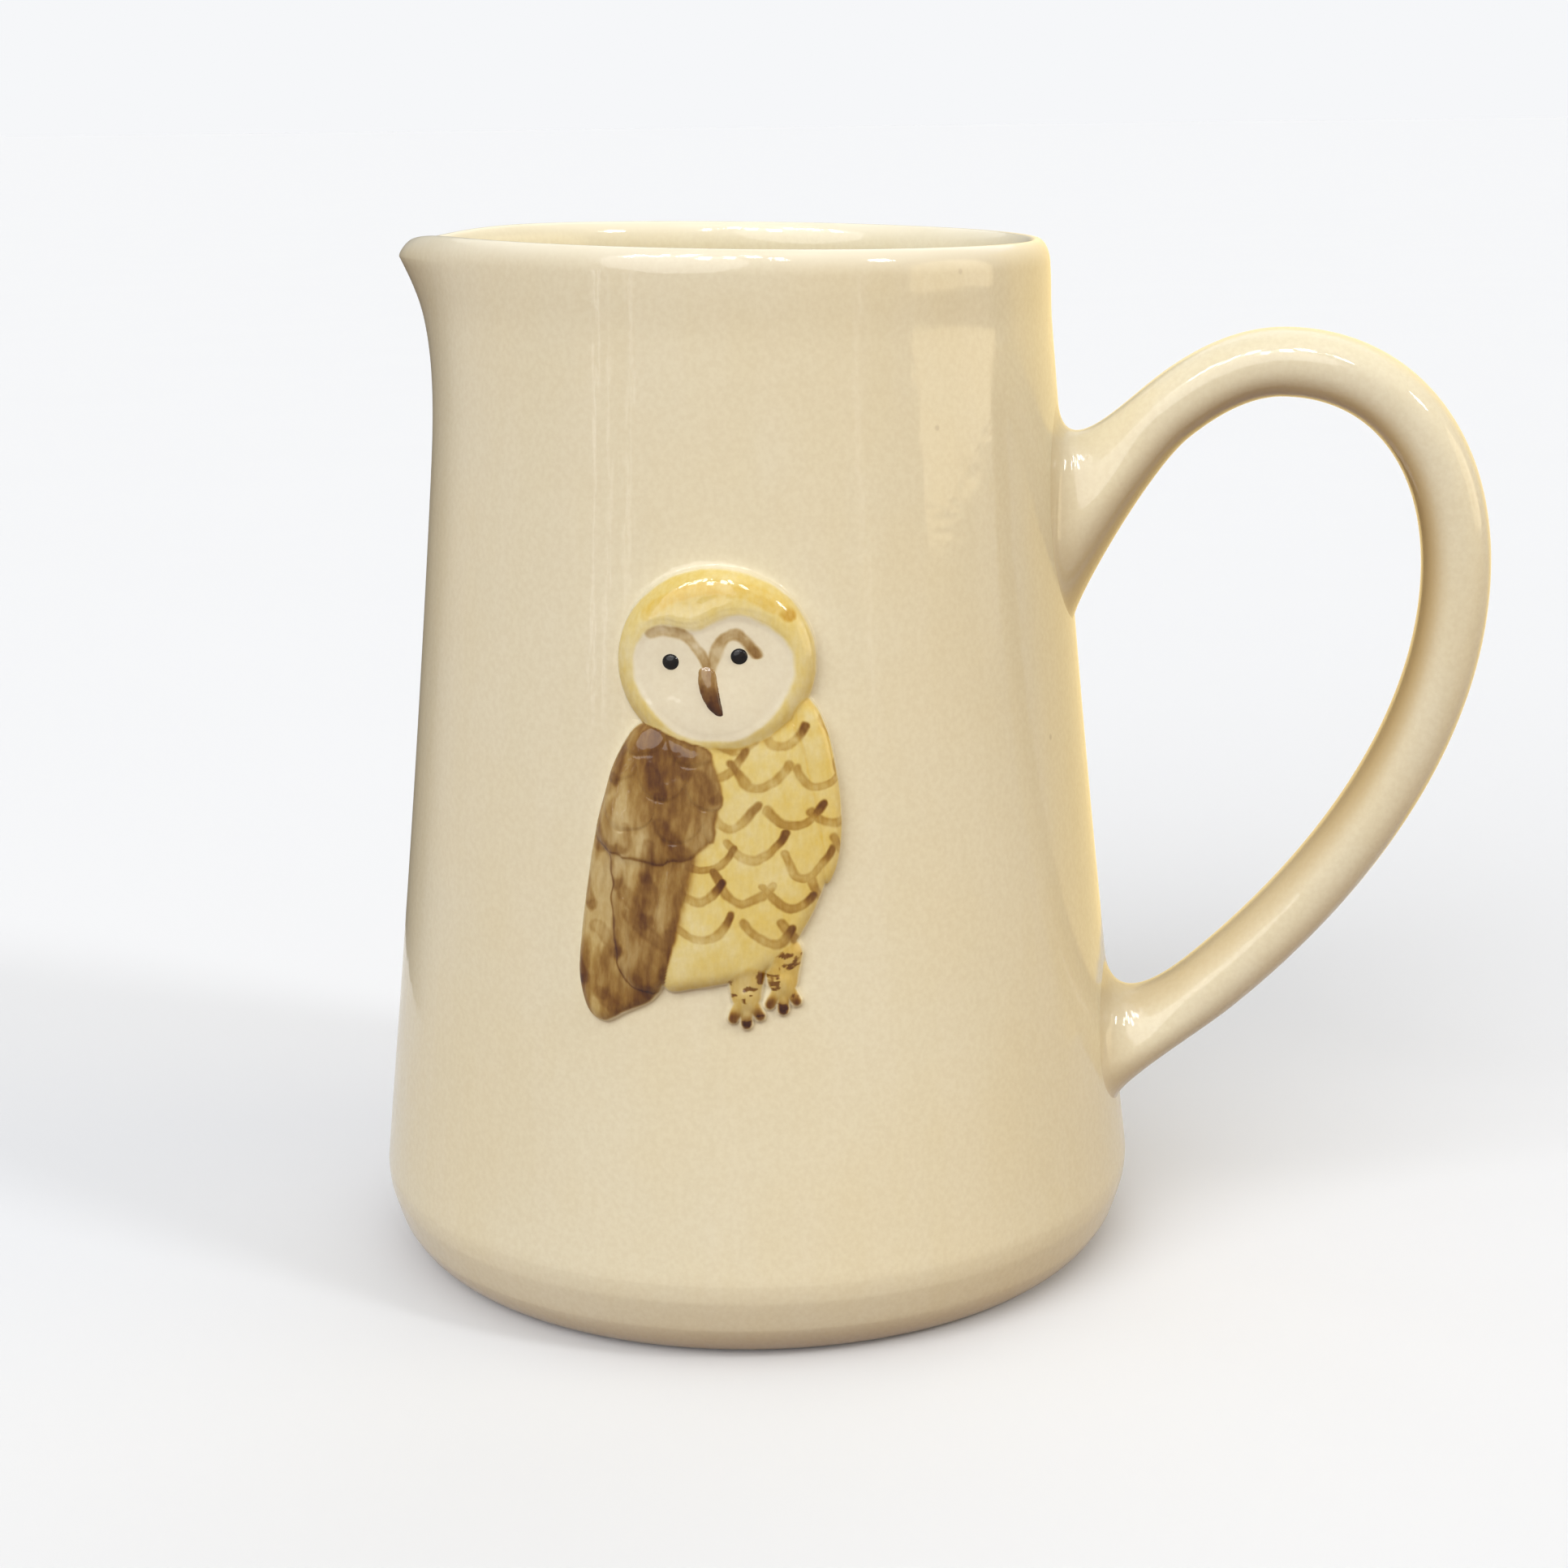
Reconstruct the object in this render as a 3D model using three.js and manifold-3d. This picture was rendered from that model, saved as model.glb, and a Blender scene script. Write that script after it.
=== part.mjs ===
// A cream one-pint jug with a pulled spout, a strap handle and a perched owl in low relief.
// Lengths are in millimetres and angles in radians. +Z is up, and the origin is the centre of the base.
// The spout points along -X, the handle along +X, and the owl looks out along -Y.
// The jug is fired as one piece. Each mesh is a piece of clay as the potter makes it before joining.

import * as THREE from "three";
import { mergeVertices } from "three/addons/utils/BufferGeometryUtils.js";
import Module from "manifold-3d";

// The gap left between two pieces that the slip and the glaze close on the real jug
const joinGap = 0.3;

// The thrown vessel
const jugHeight = 130;
const bellyRadius = 49.2;
const bellyHeight = 11;
const cornerWidth = 7.5;
const rimRadius = 37.7;
const wallBow = 0.6;
const wallThickness = 4.4;
const floorThickness = 5;
const floorCorner = 9;
const lipThickness = 3.2;
const lipRounding = 3.2;

// The spout, pulled from the rim
const spoutReach = 5.9;
const throatDepth = 26;
const throatPower = 2.8;
const beakAngle = THREE.MathUtils.degToRad(19);
const cheekAngle = THREE.MathUtils.degToRad(36);
const beakShare = 0.62;
const spoutRise = 0.9;
const riseDepth = 34;
const tipRun = 7;
const tipFlatteningShare = 0.7;

// The strap handle, in the plane of the spout. Reaches are measured from the jug's axis.
const strapThickness = 8.3;
const strapWidth = 11.6;
const crownHeight = 114.45;
const crownReach = 66.5;
const gripHeight = 88.3;
const gripReach = 88.1;
const crownSweepIn = 11.5;
const crownSweepOut = 12.8;
const gripSweepUp = 16;
const gripSweepDown = 34;

// The roots of the handle, which open out into ovals against the wall
const upperRootHeight = 94;
const upperRootSpan = 22.5;
const upperRootRun = 7.3;
const upperRootLean = THREE.MathUtils.degToRad(57);
const lowerRootHeight = 26.2;
const lowerRootSpan = 15;
const lowerRootRun = 3.5;
const lowerRootLean = THREE.MathUtils.degToRad(10);
const rootWidth = 19.5;
const rootSink = 1.5;
const rootFlare = 15;

// The slip that lutes the handle to the wall, drawn in a little under the roots
const slipThickness = 0.6;
const slipInset = 1.2;

// The owl. Places on it are shares of its width from the middle, and of its height from the lowest point.
const owlWidth = 30;
const owlHeight = 53.3;
const owlFootHeight = 41.7;
const owlMeridian = THREE.MathUtils.degToRad(-85);
const padEdge = 0.8;
const headCrown = 2.8;
const faceEdge = 1.9;
const faceCrown = 2.3;
const faceWidth = 17.6;
const faceHeight = 14.9;
const faceNotch = 1.7;
// How far the notch and the eyes lie to the left of the face's middle, as the owl looks a little that way
const faceTurn = 1.2;
const eyeDiameter = 1.9;
const eyeSpacing = 7.4;
const eyeCrown = 3;
const beakWidth = 1.8;
const beakLength = 5;
const beakCrown = 3.4;
const breastCrown = 2.4;
const covertCrown = 3;
const primaryCrown = 2.3;
const farWingCrown = 1.7;
const tailCrown = 1.6;
const footCrown = 1.4;
const toeWidth = 1.4;
const legDiameter = 3.2;

const headCentreShare = [0.01, 0.81];
const headSizeShare = [0.745, 0.375];
const faceCentreShare = [0.005, 0.765];
const eyeHeightShare = 0.805;
const beakHeightShare = 0.735;

const breastShares = [
  [-0.14, 0.7], [0.05, 0.72], [0.24, 0.74], [0.36, 0.66], [0.43, 0.5], [0.445, 0.38], [0.4, 0.28],
  [0.3, 0.2], [0.18, 0.155], [0.05, 0.115], [-0.08, 0.09], [-0.2, 0.085], [-0.24, 0.2], [-0.12, 0.45],
];
const covertShares = [
  [-0.3, 0.695], [-0.17, 0.7], [-0.04, 0.66], [0.035, 0.605], [0.065, 0.52], [0.05, 0.43],
  [-0.04, 0.365], [-0.2, 0.345], [-0.37, 0.355], [-0.465, 0.41], [-0.44, 0.49], [-0.39, 0.58],
];
const primaryShares = [
  [-0.42, 0.42], [-0.3, 0.44], [-0.08, 0.44], [0.02, 0.41], [0.01, 0.35], [-0.05, 0.28], [-0.12, 0.2],
  [-0.19, 0.13], [-0.25, 0.085], [-0.32, 0.085], [-0.385, 0.125], [-0.41, 0.2], [-0.41, 0.3],
];
const farWingShares = [
  [0.26, 0.74], [0.35, 0.725], [0.42, 0.665], [0.465, 0.56], [0.485, 0.46], [0.475, 0.37],
  [0.43, 0.31], [0.38, 0.34], [0.36, 0.45], [0.3, 0.6],
];
const tailShares = [
  [-0.42, 0.52], [-0.33, 0.48], [-0.26, 0.24], [-0.19, 0.12], [-0.24, 0.06], [-0.34, 0.025],
  [-0.43, 0], [-0.5, 0.025], [-0.53, 0.1], [-0.52, 0.2], [-0.495, 0.31], [-0.468, 0.42],
];
const leftLegShare = [0.105, 0.1];
const rightLegShare = [0.26, 0.12];
const toeTipShares = [[-0.05, -0.075], [0.005, -0.085], [0.05, -0.072]];

// How finely each surface is divided
const roundSteps = 64;
const cornerSteps = 6;
const wallSteps = 9;
const throatSteps = 6;
const lipSteps = 8;
const strapSteps = 44;
const sectionPoints = 18;
const outlinePoints = 30;
const padRings = 3;
const toeOutlinePoints = 10;

const lipBase = jugHeight - lipRounding;
const taperHeight = lipBase - bellyHeight;
const throatHeight = lipBase - throatDepth;
const overrun = 4 * slipThickness;

const wasm = await Module();
wasm.setup();

// The wall's outer radius at a height: a straight taper, drawn in a little at mid height.
function wallRadius(z) {
  const share = (z - bellyHeight) / taperHeight;
  return bellyRadius + (rimRadius - bellyRadius) * share - 4 * wallBow * share * (1 - share);
}

// The rate at which the wall's outer radius changes with height
function wallSlope(z) {
  const share = (z - bellyHeight) / taperHeight;
  return (rimRadius - bellyRadius - 4 * wallBow * (1 - 2 * share)) / taperHeight;
}

// The wall thins evenly from the floor to the lip.
function thicknessAt(z) {
  const share = (z - floorThickness) / (lipBase - floorThickness);
  return wallThickness + (lipThickness - wallThickness) * share;
}

// Points on part of an ellipse, from one angle to another
function ellipseArc(centre, radii, from, to, steps) {
  const points = [];
  for (let i = 0; i <= steps; i += 1) {
    const angle = from + ((to - from) * i) / steps;
    const x = centre[0] + radii[0] * Math.cos(angle);
    const y = centre[1] + radii[1] * Math.sin(angle);
    points.push(new THREE.Vector2(x, y));
  }
  return points;
}

// The heights at which the wall is divided, closer together in the throat of the spout
function wallHeights() {
  const heights = [];
  for (let i = 1; i <= wallSteps; i += 1) {
    heights.push(bellyHeight + ((throatHeight - bellyHeight) * i) / wallSteps);
  }
  for (let i = 1; i < throatSteps; i += 1) {
    heights.push(throatHeight + (throatDepth * i) / throatSteps);
  }
  return heights;
}

// Half the section of the vessel: under the foot, up the outside, over the lip and down to the floor inside.
function vesselProfile() {
  const cornerCentre = [bellyRadius - cornerWidth, bellyHeight];
  const corner = ellipseArc(cornerCentre, [cornerWidth, bellyHeight], -Math.PI / 2, 0, cornerSteps);
  const outside = wallHeights().map((z) => new THREE.Vector2(wallRadius(z), z));
  const lipCentre = [rimRadius - lipThickness / 2, lipBase];
  const lip = ellipseArc(lipCentre, [lipThickness / 2, lipRounding], 0, Math.PI, lipSteps);
  const bowlHeight = floorThickness + floorCorner;
  const inside = wallHeights()
    .filter((z) => z > bowlHeight + floorCorner / 2)
    .reverse()
    .map((z) => new THREE.Vector2(wallRadius(z) - thicknessAt(z), z));
  const bowlRadius = wallRadius(bowlHeight) - thicknessAt(bowlHeight);
  const bowlCentre = [bowlRadius - floorCorner, bowlHeight];
  const bowl = ellipseArc(bowlCentre, [floorCorner, floorCorner], 0, -Math.PI / 2, cornerSteps);
  const foot = new THREE.Vector2(0, 0);
  const floor = new THREE.Vector2(0, floorThickness);
  return [foot, ...corner, ...outside, ...lip, ...inside, ...bowl, floor];
}

// How far the spout draws the wall outwards: most at the lip, and less down the throat and round the cheeks.
function spoutPull(angle, z) {
  const share = THREE.MathUtils.clamp((z - throatHeight) / throatDepth, 0, 1);
  const beak = Math.exp(-((angle / beakAngle) ** 2));
  const cheek = Math.exp(-((angle / cheekAngle) ** 2));
  return spoutReach * share ** throatPower * (beakShare * beak + (1 - beakShare) * cheek);
}

// How much of the lip's rounding is left: all of it round the rim, and less towards the tip of the spout.
function lipShare(radius) {
  const tipShare = Math.max(0, 1 - (rimRadius + spoutReach - radius) / tipRun);
  return 1 - tipFlatteningShare * tipShare ** 2;
}

// Pulls the spout out of a turned vessel, flattens its lip, and lifts the rim towards it.
function pullSpout(geometry) {
  const position = geometry.getAttribute("position");
  const riseStart = jugHeight - riseDepth;
  for (let i = 0; i < position.count; i += 1) {
    const [x, y, z] = [position.getX(i), position.getY(i), position.getZ(i)];
    const radius = Math.hypot(x, y);
    if (radius > 0 && z > riseStart) {
      const angle = Math.abs(Math.atan2(y, -x));
      const pulled = radius + spoutPull(angle, z);
      const grown = pulled / radius;
      const height = Math.min(z, lipBase) + Math.max(0, z - lipBase) * lipShare(pulled);
      const lift = spoutRise * THREE.MathUtils.smoothstep(z, riseStart, jugHeight) * (-x / rimRadius);
      position.setXYZ(i, x * grown, y * grown, height + lift);
    }
  }
  return geometry;
}

// A profile turned about the vertical axis
function turned(profile) {
  return new THREE.LatheGeometry(profile, roundSteps).rotateX(Math.PI / 2);
}

// A closed solid from a geometry. Vertices that share a place are merged first.
function solidOf(geometry) {
  const bare = geometry.clone();
  bare.deleteAttribute("normal");
  bare.deleteAttribute("uv");
  const merged = mergeVertices(bare);
  const mesh = new wasm.Mesh({
    numProp: 3,
    vertProperties: new Float32Array(merged.getAttribute("position").array),
    triVerts: new Uint32Array(merged.index.array),
  });
  return new wasm.Manifold(mesh);
}

// A geometry from a closed solid
function geometryOf(solid) {
  const mesh = solid.getMesh();
  const geometry = new THREE.BufferGeometry();
  geometry.setAttribute("position", new THREE.BufferAttribute(mesh.vertProperties, 3));
  geometry.setIndex(new THREE.BufferAttribute(mesh.triVerts, 1));
  geometry.computeVertexNormals();
  return geometry;
}

// A closed skin over rings with the same number of points, and a point to close each end
function loft(rings, first, last) {
  const count = rings[0].length;
  const points = [first, ...rings.flat(), last];
  const index = [];
  for (let j = 0; j < count; j += 1) {
    const next = (j + 1) % count;
    index.push(0, 1 + next, 1 + j);
    for (let i = 0; i + 1 < rings.length; i += 1) {
      const low = 1 + i * count;
      const high = low + count;
      index.push(low + j, low + next, high + next, low + j, high + next, high + j);
    }
    const top = 1 + (rings.length - 1) * count;
    index.push(top + j, top + next, points.length - 1);
  }
  return new THREE.BufferGeometry().setFromPoints(points).setIndex(index);
}

// A point against the wall: an arc round it from a meridian, a height, and how far it stands proud.
function onWall(meridian, arc, z, proud) {
  const lean = Math.atan(-wallSlope(z));
  const angle = meridian + arc / wallRadius(z);
  const radius = wallRadius(z) + proud * Math.cos(lean);
  return new THREE.Vector3(radius * Math.cos(angle), radius * Math.sin(angle), z + proud * Math.sin(lean));
}

// The vessel's outside, grown by a margin, for cutting what stands against it
function grownWall(margin) {
  const heights = [bellyHeight, ...wallHeights(), lipBase];
  const outside = heights.map((z) => new THREE.Vector2(wallRadius(z) + margin, z));
  const foot = new THREE.Vector2(bellyRadius + margin, 0);
  return turned([new THREE.Vector2(0, 0), foot, ...outside, new THREE.Vector2(0, lipBase)]);
}

// The middle line of the strap: up from the wall to the crown, over to the grip, and back down to the belly.
function strapPath() {
  const point = (x, z) => new THREE.Vector3(x, 0, z);
  const leaning = (from, run, lean) => point(from.x + run * Math.cos(lean), from.z + run * Math.sin(lean));
  const start = point(wallRadius(upperRootHeight) - rootSink, upperRootHeight);
  const crown = point(crownReach, crownHeight);
  const grip = point(gripReach, gripHeight);
  const end = point(wallRadius(lowerRootHeight) - rootSink, lowerRootHeight);
  const leave = leaning(start, upperRootRun, upperRootLean);
  const arrive = leaning(end, lowerRootRun, lowerRootLean);
  const path = new THREE.CurvePath();
  path.add(new THREE.CubicBezierCurve3(start, leave, point(crown.x - crownSweepIn, crown.z), crown));
  path.add(new THREE.CubicBezierCurve3(
    crown,
    point(crown.x + crownSweepOut, crown.z),
    point(grip.x, grip.z + gripSweepUp),
    grip,
  ));
  path.add(new THREE.CubicBezierCurve3(grip, point(grip.x, grip.z - gripSweepDown), arrive, end));
  return path;
}

// The strap handle: an oval section carried along its path. Near a root it opens out, flat to the wall.
function makeHandle() {
  const path = strapPath();
  const length = path.getLength();
  const rings = [];
  for (let i = 0; i <= strapSteps; i += 1) {
    const share = i / strapSteps;
    const centre = path.getPointAt(share);
    const along = path.getTangentAt(share);
    const upper = share < 1 / 2;
    const fromRoot = length * (upper ? share : 1 - share);
    const near = Math.max(0, 1 - fromRoot / rootFlare) ** 2;
    const lean = Math.atan(-wallSlope(centre.z));
    const downWall = new THREE.Vector3(Math.sin(lean), 0, -Math.cos(lean));
    const across = new THREE.Vector3(along.z, 0, -along.x);
    across.lerp(upper ? downWall : downWall.negate(), near).normalize();
    const span = THREE.MathUtils.lerp(strapThickness, upper ? upperRootSpan : lowerRootSpan, near);
    const width = THREE.MathUtils.lerp(strapWidth, rootWidth, near);
    const ring = [];
    for (let j = 0; j < sectionPoints; j += 1) {
      const angle = (2 * Math.PI * j) / sectionPoints;
      const point = centre.clone().addScaledVector(across, (span / 2) * Math.cos(angle));
      point.y += (width / 2) * Math.sin(angle);
      ring.push(point);
    }
    rings.push(ring);
  }
  const strap = solidOf(loft(rings, path.getPointAt(0), path.getPointAt(1)));
  const seat = solidOf(grownWall(slipThickness + 2 * joinGap));
  return geometryOf(strap.subtract(seat));
}

// A pad of clay against the wall. Its outline is drawn in to its middle, and domed from edge to crown.
function pad({ meridian, outline, middle, base, edge, crown }) {
  const ringAt = (share, proud) =>
    outline.map((p) => {
      const at = middle.clone().lerp(p, share);
      return onWall(meridian, at.x, at.y, proud);
    });
  const back = [];
  const front = [];
  for (let i = 1; i <= padRings; i += 1) {
    const share = i / padRings;
    const dome = Math.sqrt(Math.max(0, 1 - share ** 4));
    back.push(ringAt(share, base));
    front.unshift(ringAt(share, edge + (crown - edge) * dome));
  }
  const foot = onWall(meridian, middle.x, middle.y, base);
  const top = onWall(meridian, middle.x, middle.y, crown);
  return solidOf(loft([...back, ...front], foot, top));
}

// An outline moved outwards by a margin
function grownOutline(outline, margin) {
  return outline.map((p, i) => {
    const before = outline[(i + outline.length - 1) % outline.length];
    const after = outline[(i + 1) % outline.length];
    const along = after.clone().sub(before).normalize();
    return new THREE.Vector2(p.x + along.y * margin, p.y - along.x * margin);
  });
}

// The space that a pad needs in its neighbours: its outline grown by the join gap, through their whole depth.
function socket(shape) {
  return pad({
    ...shape,
    outline: grownOutline(shape.outline, joinGap),
    base: -overrun,
    edge: shape.crown + overrun,
    crown: shape.crown + overrun,
  });
}

// The space just over a pad, for cutting the back of what lies on it
function cover(shape) {
  return pad({
    ...shape,
    outline: grownOutline(shape.outline, joinGap),
    base: -overrun,
    edge: shape.edge + joinGap,
    crown: shape.crown + joinGap,
  });
}

// A place on the owl, from its shares of the owl's width and height
function owlPoint([x, y]) {
  return new THREE.Vector2(x * owlWidth, owlFootHeight + y * owlHeight);
}

// A smooth closed outline through places on the owl, with the middle of those places
function owlPad(shares, crown) {
  const corners = shares.map(owlPoint).map((p) => new THREE.Vector3(p.x, p.y, 0));
  const curve = new THREE.CatmullRomCurve3(corners, true, "centripetal");
  const spaced = curve.getSpacedPoints(outlinePoints).slice(0, outlinePoints);
  const outline = spaced.map((p) => new THREE.Vector2(p.x, p.y));
  if (THREE.ShapeUtils.isClockWise(outline)) outline.reverse();
  const middle = new THREE.Vector2();
  outline.forEach((p) => middle.addScaledVector(p, 1 / outline.length));
  return { meridian: owlMeridian, outline, middle, base: joinGap, edge: padEdge, crown };
}

// A round or oval pad about a middle
function ovalPad(meridian, middle, width, height, crown) {
  const outline = ellipseArc([middle.x, middle.y], [width / 2, height / 2], 0, 2 * Math.PI, outlinePoints);
  outline.pop();
  return { meridian, outline, middle, base: joinGap, edge: padEdge, crown };
}

// The facial disc is heart shaped: an oval that narrows downwards, with a notch over the beak.
function facePad() {
  const middle = owlPoint(faceCentreShare);
  const narrowingShare = 0.16;
  const notchWidthShare = 0.3;
  const circle = ellipseArc([0, 0], [1, 1], 0, 2 * Math.PI, outlinePoints).slice(0, outlinePoints);
  const outline = circle.map((p) => {
    const x = (faceWidth / 2) * p.x * (1 + narrowingShare * p.y);
    const fromNotch = (2 * (x + faceTurn)) / (faceWidth * notchWidthShare);
    const notch = p.y > 0 ? faceNotch * Math.exp(-(fromNotch ** 2)) : 0;
    return new THREE.Vector2(middle.x + x, middle.y + (faceHeight / 2) * p.y - notch);
  });
  return { meridian: owlMeridian, outline, middle, base: joinGap, edge: faceEdge, crown: faceCrown };
}

// The bead of one eye, on the facial disc
function makeEye(side) {
  const middle = owlPoint([faceCentreShare[0], eyeHeightShare]);
  middle.x += (side * eyeSpacing) / 2 - faceTurn;
  const bead = ovalPad(owlMeridian, middle, eyeDiameter, eyeDiameter, eyeCrown);
  bead.edge = faceCrown + joinGap;
  return geometryOf(pad(bead).subtract(cover(facePad())));
}

// The beak: a drop of clay, narrow at its tip, on the facial disc.
function makeBeak() {
  const middle = owlPoint([faceCentreShare[0], beakHeightShare]);
  middle.x -= faceTurn / 2;
  const tipShare = 0.45;
  const shape = ovalPad(owlMeridian, middle, beakWidth, beakLength, beakCrown);
  shape.outline.forEach((p) => {
    const down = (middle.y - p.y) / (beakLength / 2);
    p.x = middle.x + (p.x - middle.x) * (1 - tipShare * down);
  });
  shape.edge = faceCrown + joinGap;
  return geometryOf(pad(shape).subtract(cover(facePad())));
}

// A foot: a feathered leg with three toes fanned out below it
function makeFoot(legShare) {
  const leg = ovalPad(owlMeridian, owlPoint(legShare), legDiameter, legDiameter, footCrown);
  const toes = toeTipShares.map((tipShare) => {
    const tip = owlPoint([legShare[0] + tipShare[0], legShare[1] + tipShare[1]]);
    const along = tip.clone().sub(leg.middle);
    const turn = along.angle();
    const halfLength = along.length() / 2 + toeWidth / 2;
    const middle = leg.middle.clone().addScaledVector(along, 1 / 2);
    const oval = ellipseArc([0, 0], [halfLength, toeWidth / 2], 0, 2 * Math.PI, toeOutlinePoints);
    oval.pop();
    const outline = oval.map((p) => p.rotateAround(new THREE.Vector2(), turn).add(middle));
    return pad({ ...leg, outline, middle });
  });
  return toes.reduce((joined, toe) => joined.add(toe), pad(leg));
}

const head = ovalPad(
  owlMeridian,
  owlPoint(headCentreShare),
  owlWidth * headSizeShare[0],
  owlHeight * headSizeShare[1],
  headCrown,
);
const face = facePad();
const breast = owlPad(breastShares, breastCrown);
const coverts = owlPad(covertShares, covertCrown);
const primaries = owlPad(primaryShares, primaryCrown);
const farWing = owlPad(farWingShares, farWingCrown);
const tail = owlPad(tailShares, tailCrown);

// A pad with the space for the pads that lie over it cut out
function cutPad(shape, ...over) {
  return geometryOf(over.reduce((left, upper) => left.subtract(socket(upper)), pad(shape)));
}

// The slip between a root of the handle and the wall
function slipPad(height, span) {
  const middle = new THREE.Vector2(0, height);
  const slip = ovalPad(0, middle, rootWidth - 2 * slipInset, span - 2 * slipInset, joinGap + slipThickness);
  slip.edge = slip.crown;
  return geometryOf(pad(slip));
}

// A foot is cut where the breast lies over it.
function cutFoot(legShare) {
  return geometryOf(makeFoot(legShare).subtract(socket(breast)));
}

const glazes = {
  cream: new THREE.MeshStandardMaterial({ color: 0xe0d3b4, roughness: 0.18, metalness: 0 }),
  gold: new THREE.MeshStandardMaterial({ color: 0xd8b766, roughness: 0.2, metalness: 0 }),
  straw: new THREE.MeshStandardMaterial({ color: 0xdcc585, roughness: 0.2, metalness: 0 }),
  umber: new THREE.MeshStandardMaterial({ color: 0x6b5031, roughness: 0.22, metalness: 0 }),
  white: new THREE.MeshStandardMaterial({ color: 0xe6ddcb, roughness: 0.2, metalness: 0 }),
  sienna: new THREE.MeshStandardMaterial({ color: 0x6a4a22, roughness: 0.22, metalness: 0 }),
  black: new THREE.MeshStandardMaterial({ color: 0x14110d, roughness: 0.15, metalness: 0 }),
};

const pieces = [
  ["vessel", pullSpout(turned(vesselProfile())), glazes.cream],
  ["handle", makeHandle(), glazes.cream],
  ["upper_handle_slip", slipPad(upperRootHeight, upperRootSpan), glazes.cream],
  ["lower_handle_slip", slipPad(lowerRootHeight, lowerRootSpan), glazes.cream],
  ["owl_head_ruff", cutPad(head, face), glazes.gold],
  ["owl_face_disc", geometryOf(pad(face)), glazes.white],
  ["owl_left_eye", makeEye(-1), glazes.black],
  ["owl_right_eye", makeEye(1), glazes.black],
  ["owl_beak", makeBeak(), glazes.sienna],
  ["owl_breast", cutPad(breast, head, coverts, primaries), glazes.straw],
  ["owl_wing_coverts", cutPad(coverts, head), glazes.umber],
  ["owl_wing_primaries", cutPad(primaries, coverts), glazes.umber],
  ["owl_far_wing", cutPad(farWing, breast, head), glazes.gold],
  ["owl_tail", cutPad(tail, coverts, primaries, breast), glazes.umber],
  ["owl_left_foot", cutFoot(leftLegShare), glazes.gold],
  ["owl_right_foot", cutFoot(rightLegShare), glazes.gold],
];

const jug = new THREE.Group();
for (const [name, geometry, glaze] of pieces) {
  const mesh = new THREE.Mesh(geometry, glaze);
  mesh.name = name;
  jug.add(mesh);
}

export default jug;
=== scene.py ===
"""A cream glazed pint jug with a strap handle and a barn owl in painted relief, on a pale studio floor.

Every surface is worked out with numpy in metres, in the frame of the jug: +Z is up from the centre of the
foot, the handle is at +X, the spout at -X and the owl on the -Y side.
"""

import bpy
import numpy as np
from bpy.props import FloatProperty, FloatVectorProperty, IntProperty, PointerProperty
from mathutils import Matrix, Vector


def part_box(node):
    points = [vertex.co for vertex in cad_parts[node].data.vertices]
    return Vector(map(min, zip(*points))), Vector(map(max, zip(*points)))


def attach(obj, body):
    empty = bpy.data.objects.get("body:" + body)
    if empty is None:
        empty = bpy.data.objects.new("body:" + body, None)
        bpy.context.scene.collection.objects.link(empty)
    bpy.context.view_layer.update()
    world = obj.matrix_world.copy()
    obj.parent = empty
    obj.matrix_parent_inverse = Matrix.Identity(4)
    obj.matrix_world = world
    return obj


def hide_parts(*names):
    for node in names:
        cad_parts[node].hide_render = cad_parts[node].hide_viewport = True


bl_info = {
    "name": "Owl Jug",
    "version": (1, 0, 0),
    "blender": (4, 5, 0),
    "location": "View3D > Sidebar > Pottery",
    "description": "Glazes a thrown jug, its strap handle and its owl in relief",
    "category": "Object",
}

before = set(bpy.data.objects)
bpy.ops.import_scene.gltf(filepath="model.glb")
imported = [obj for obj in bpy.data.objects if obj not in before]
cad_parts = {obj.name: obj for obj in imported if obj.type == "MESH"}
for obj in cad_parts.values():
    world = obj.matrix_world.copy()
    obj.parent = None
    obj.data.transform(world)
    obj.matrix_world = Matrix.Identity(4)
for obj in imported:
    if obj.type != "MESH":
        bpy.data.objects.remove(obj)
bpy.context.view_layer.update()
VESSEL_LOW, VESSEL_HIGH = (Vector(corner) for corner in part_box("vessel"))
_, HANDLE_HIGH = (Vector(corner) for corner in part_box("handle"))
MM = 0.001
HALF_STRAP = 4.15 * MM
BODY = "root"


def linear(red, green, blue):
    """Linear light for a colour given as screen values from 0 to 255."""
    share = np.array([red, green, blue]) / 255
    return tuple(np.where(share <= 0.04045, share / 12.92, ((share + 0.055) / 1.055) ** 2.4).tolist())


def length(name, metres, about):
    """A property that holds a length."""
    return FloatProperty(name=name, description=about, default=metres, min=0, precision=5, unit="LENGTH")


def turn(name, degrees, about):
    """A property that holds an angle."""
    return FloatProperty(name=name, description=about, default=np.radians(degrees), subtype="ANGLE")


def level(name, share, about):
    """A property that holds a share of full light."""
    return FloatProperty(name=name, description=about, default=share, min=0, max=2, subtype="FACTOR")


def colour(name, screen, about):
    """A property that holds a colour."""
    return FloatVectorProperty(
        name=name, description=about, default=linear(*screen), size=3, min=0, max=1, subtype="COLOR"
    )


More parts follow.
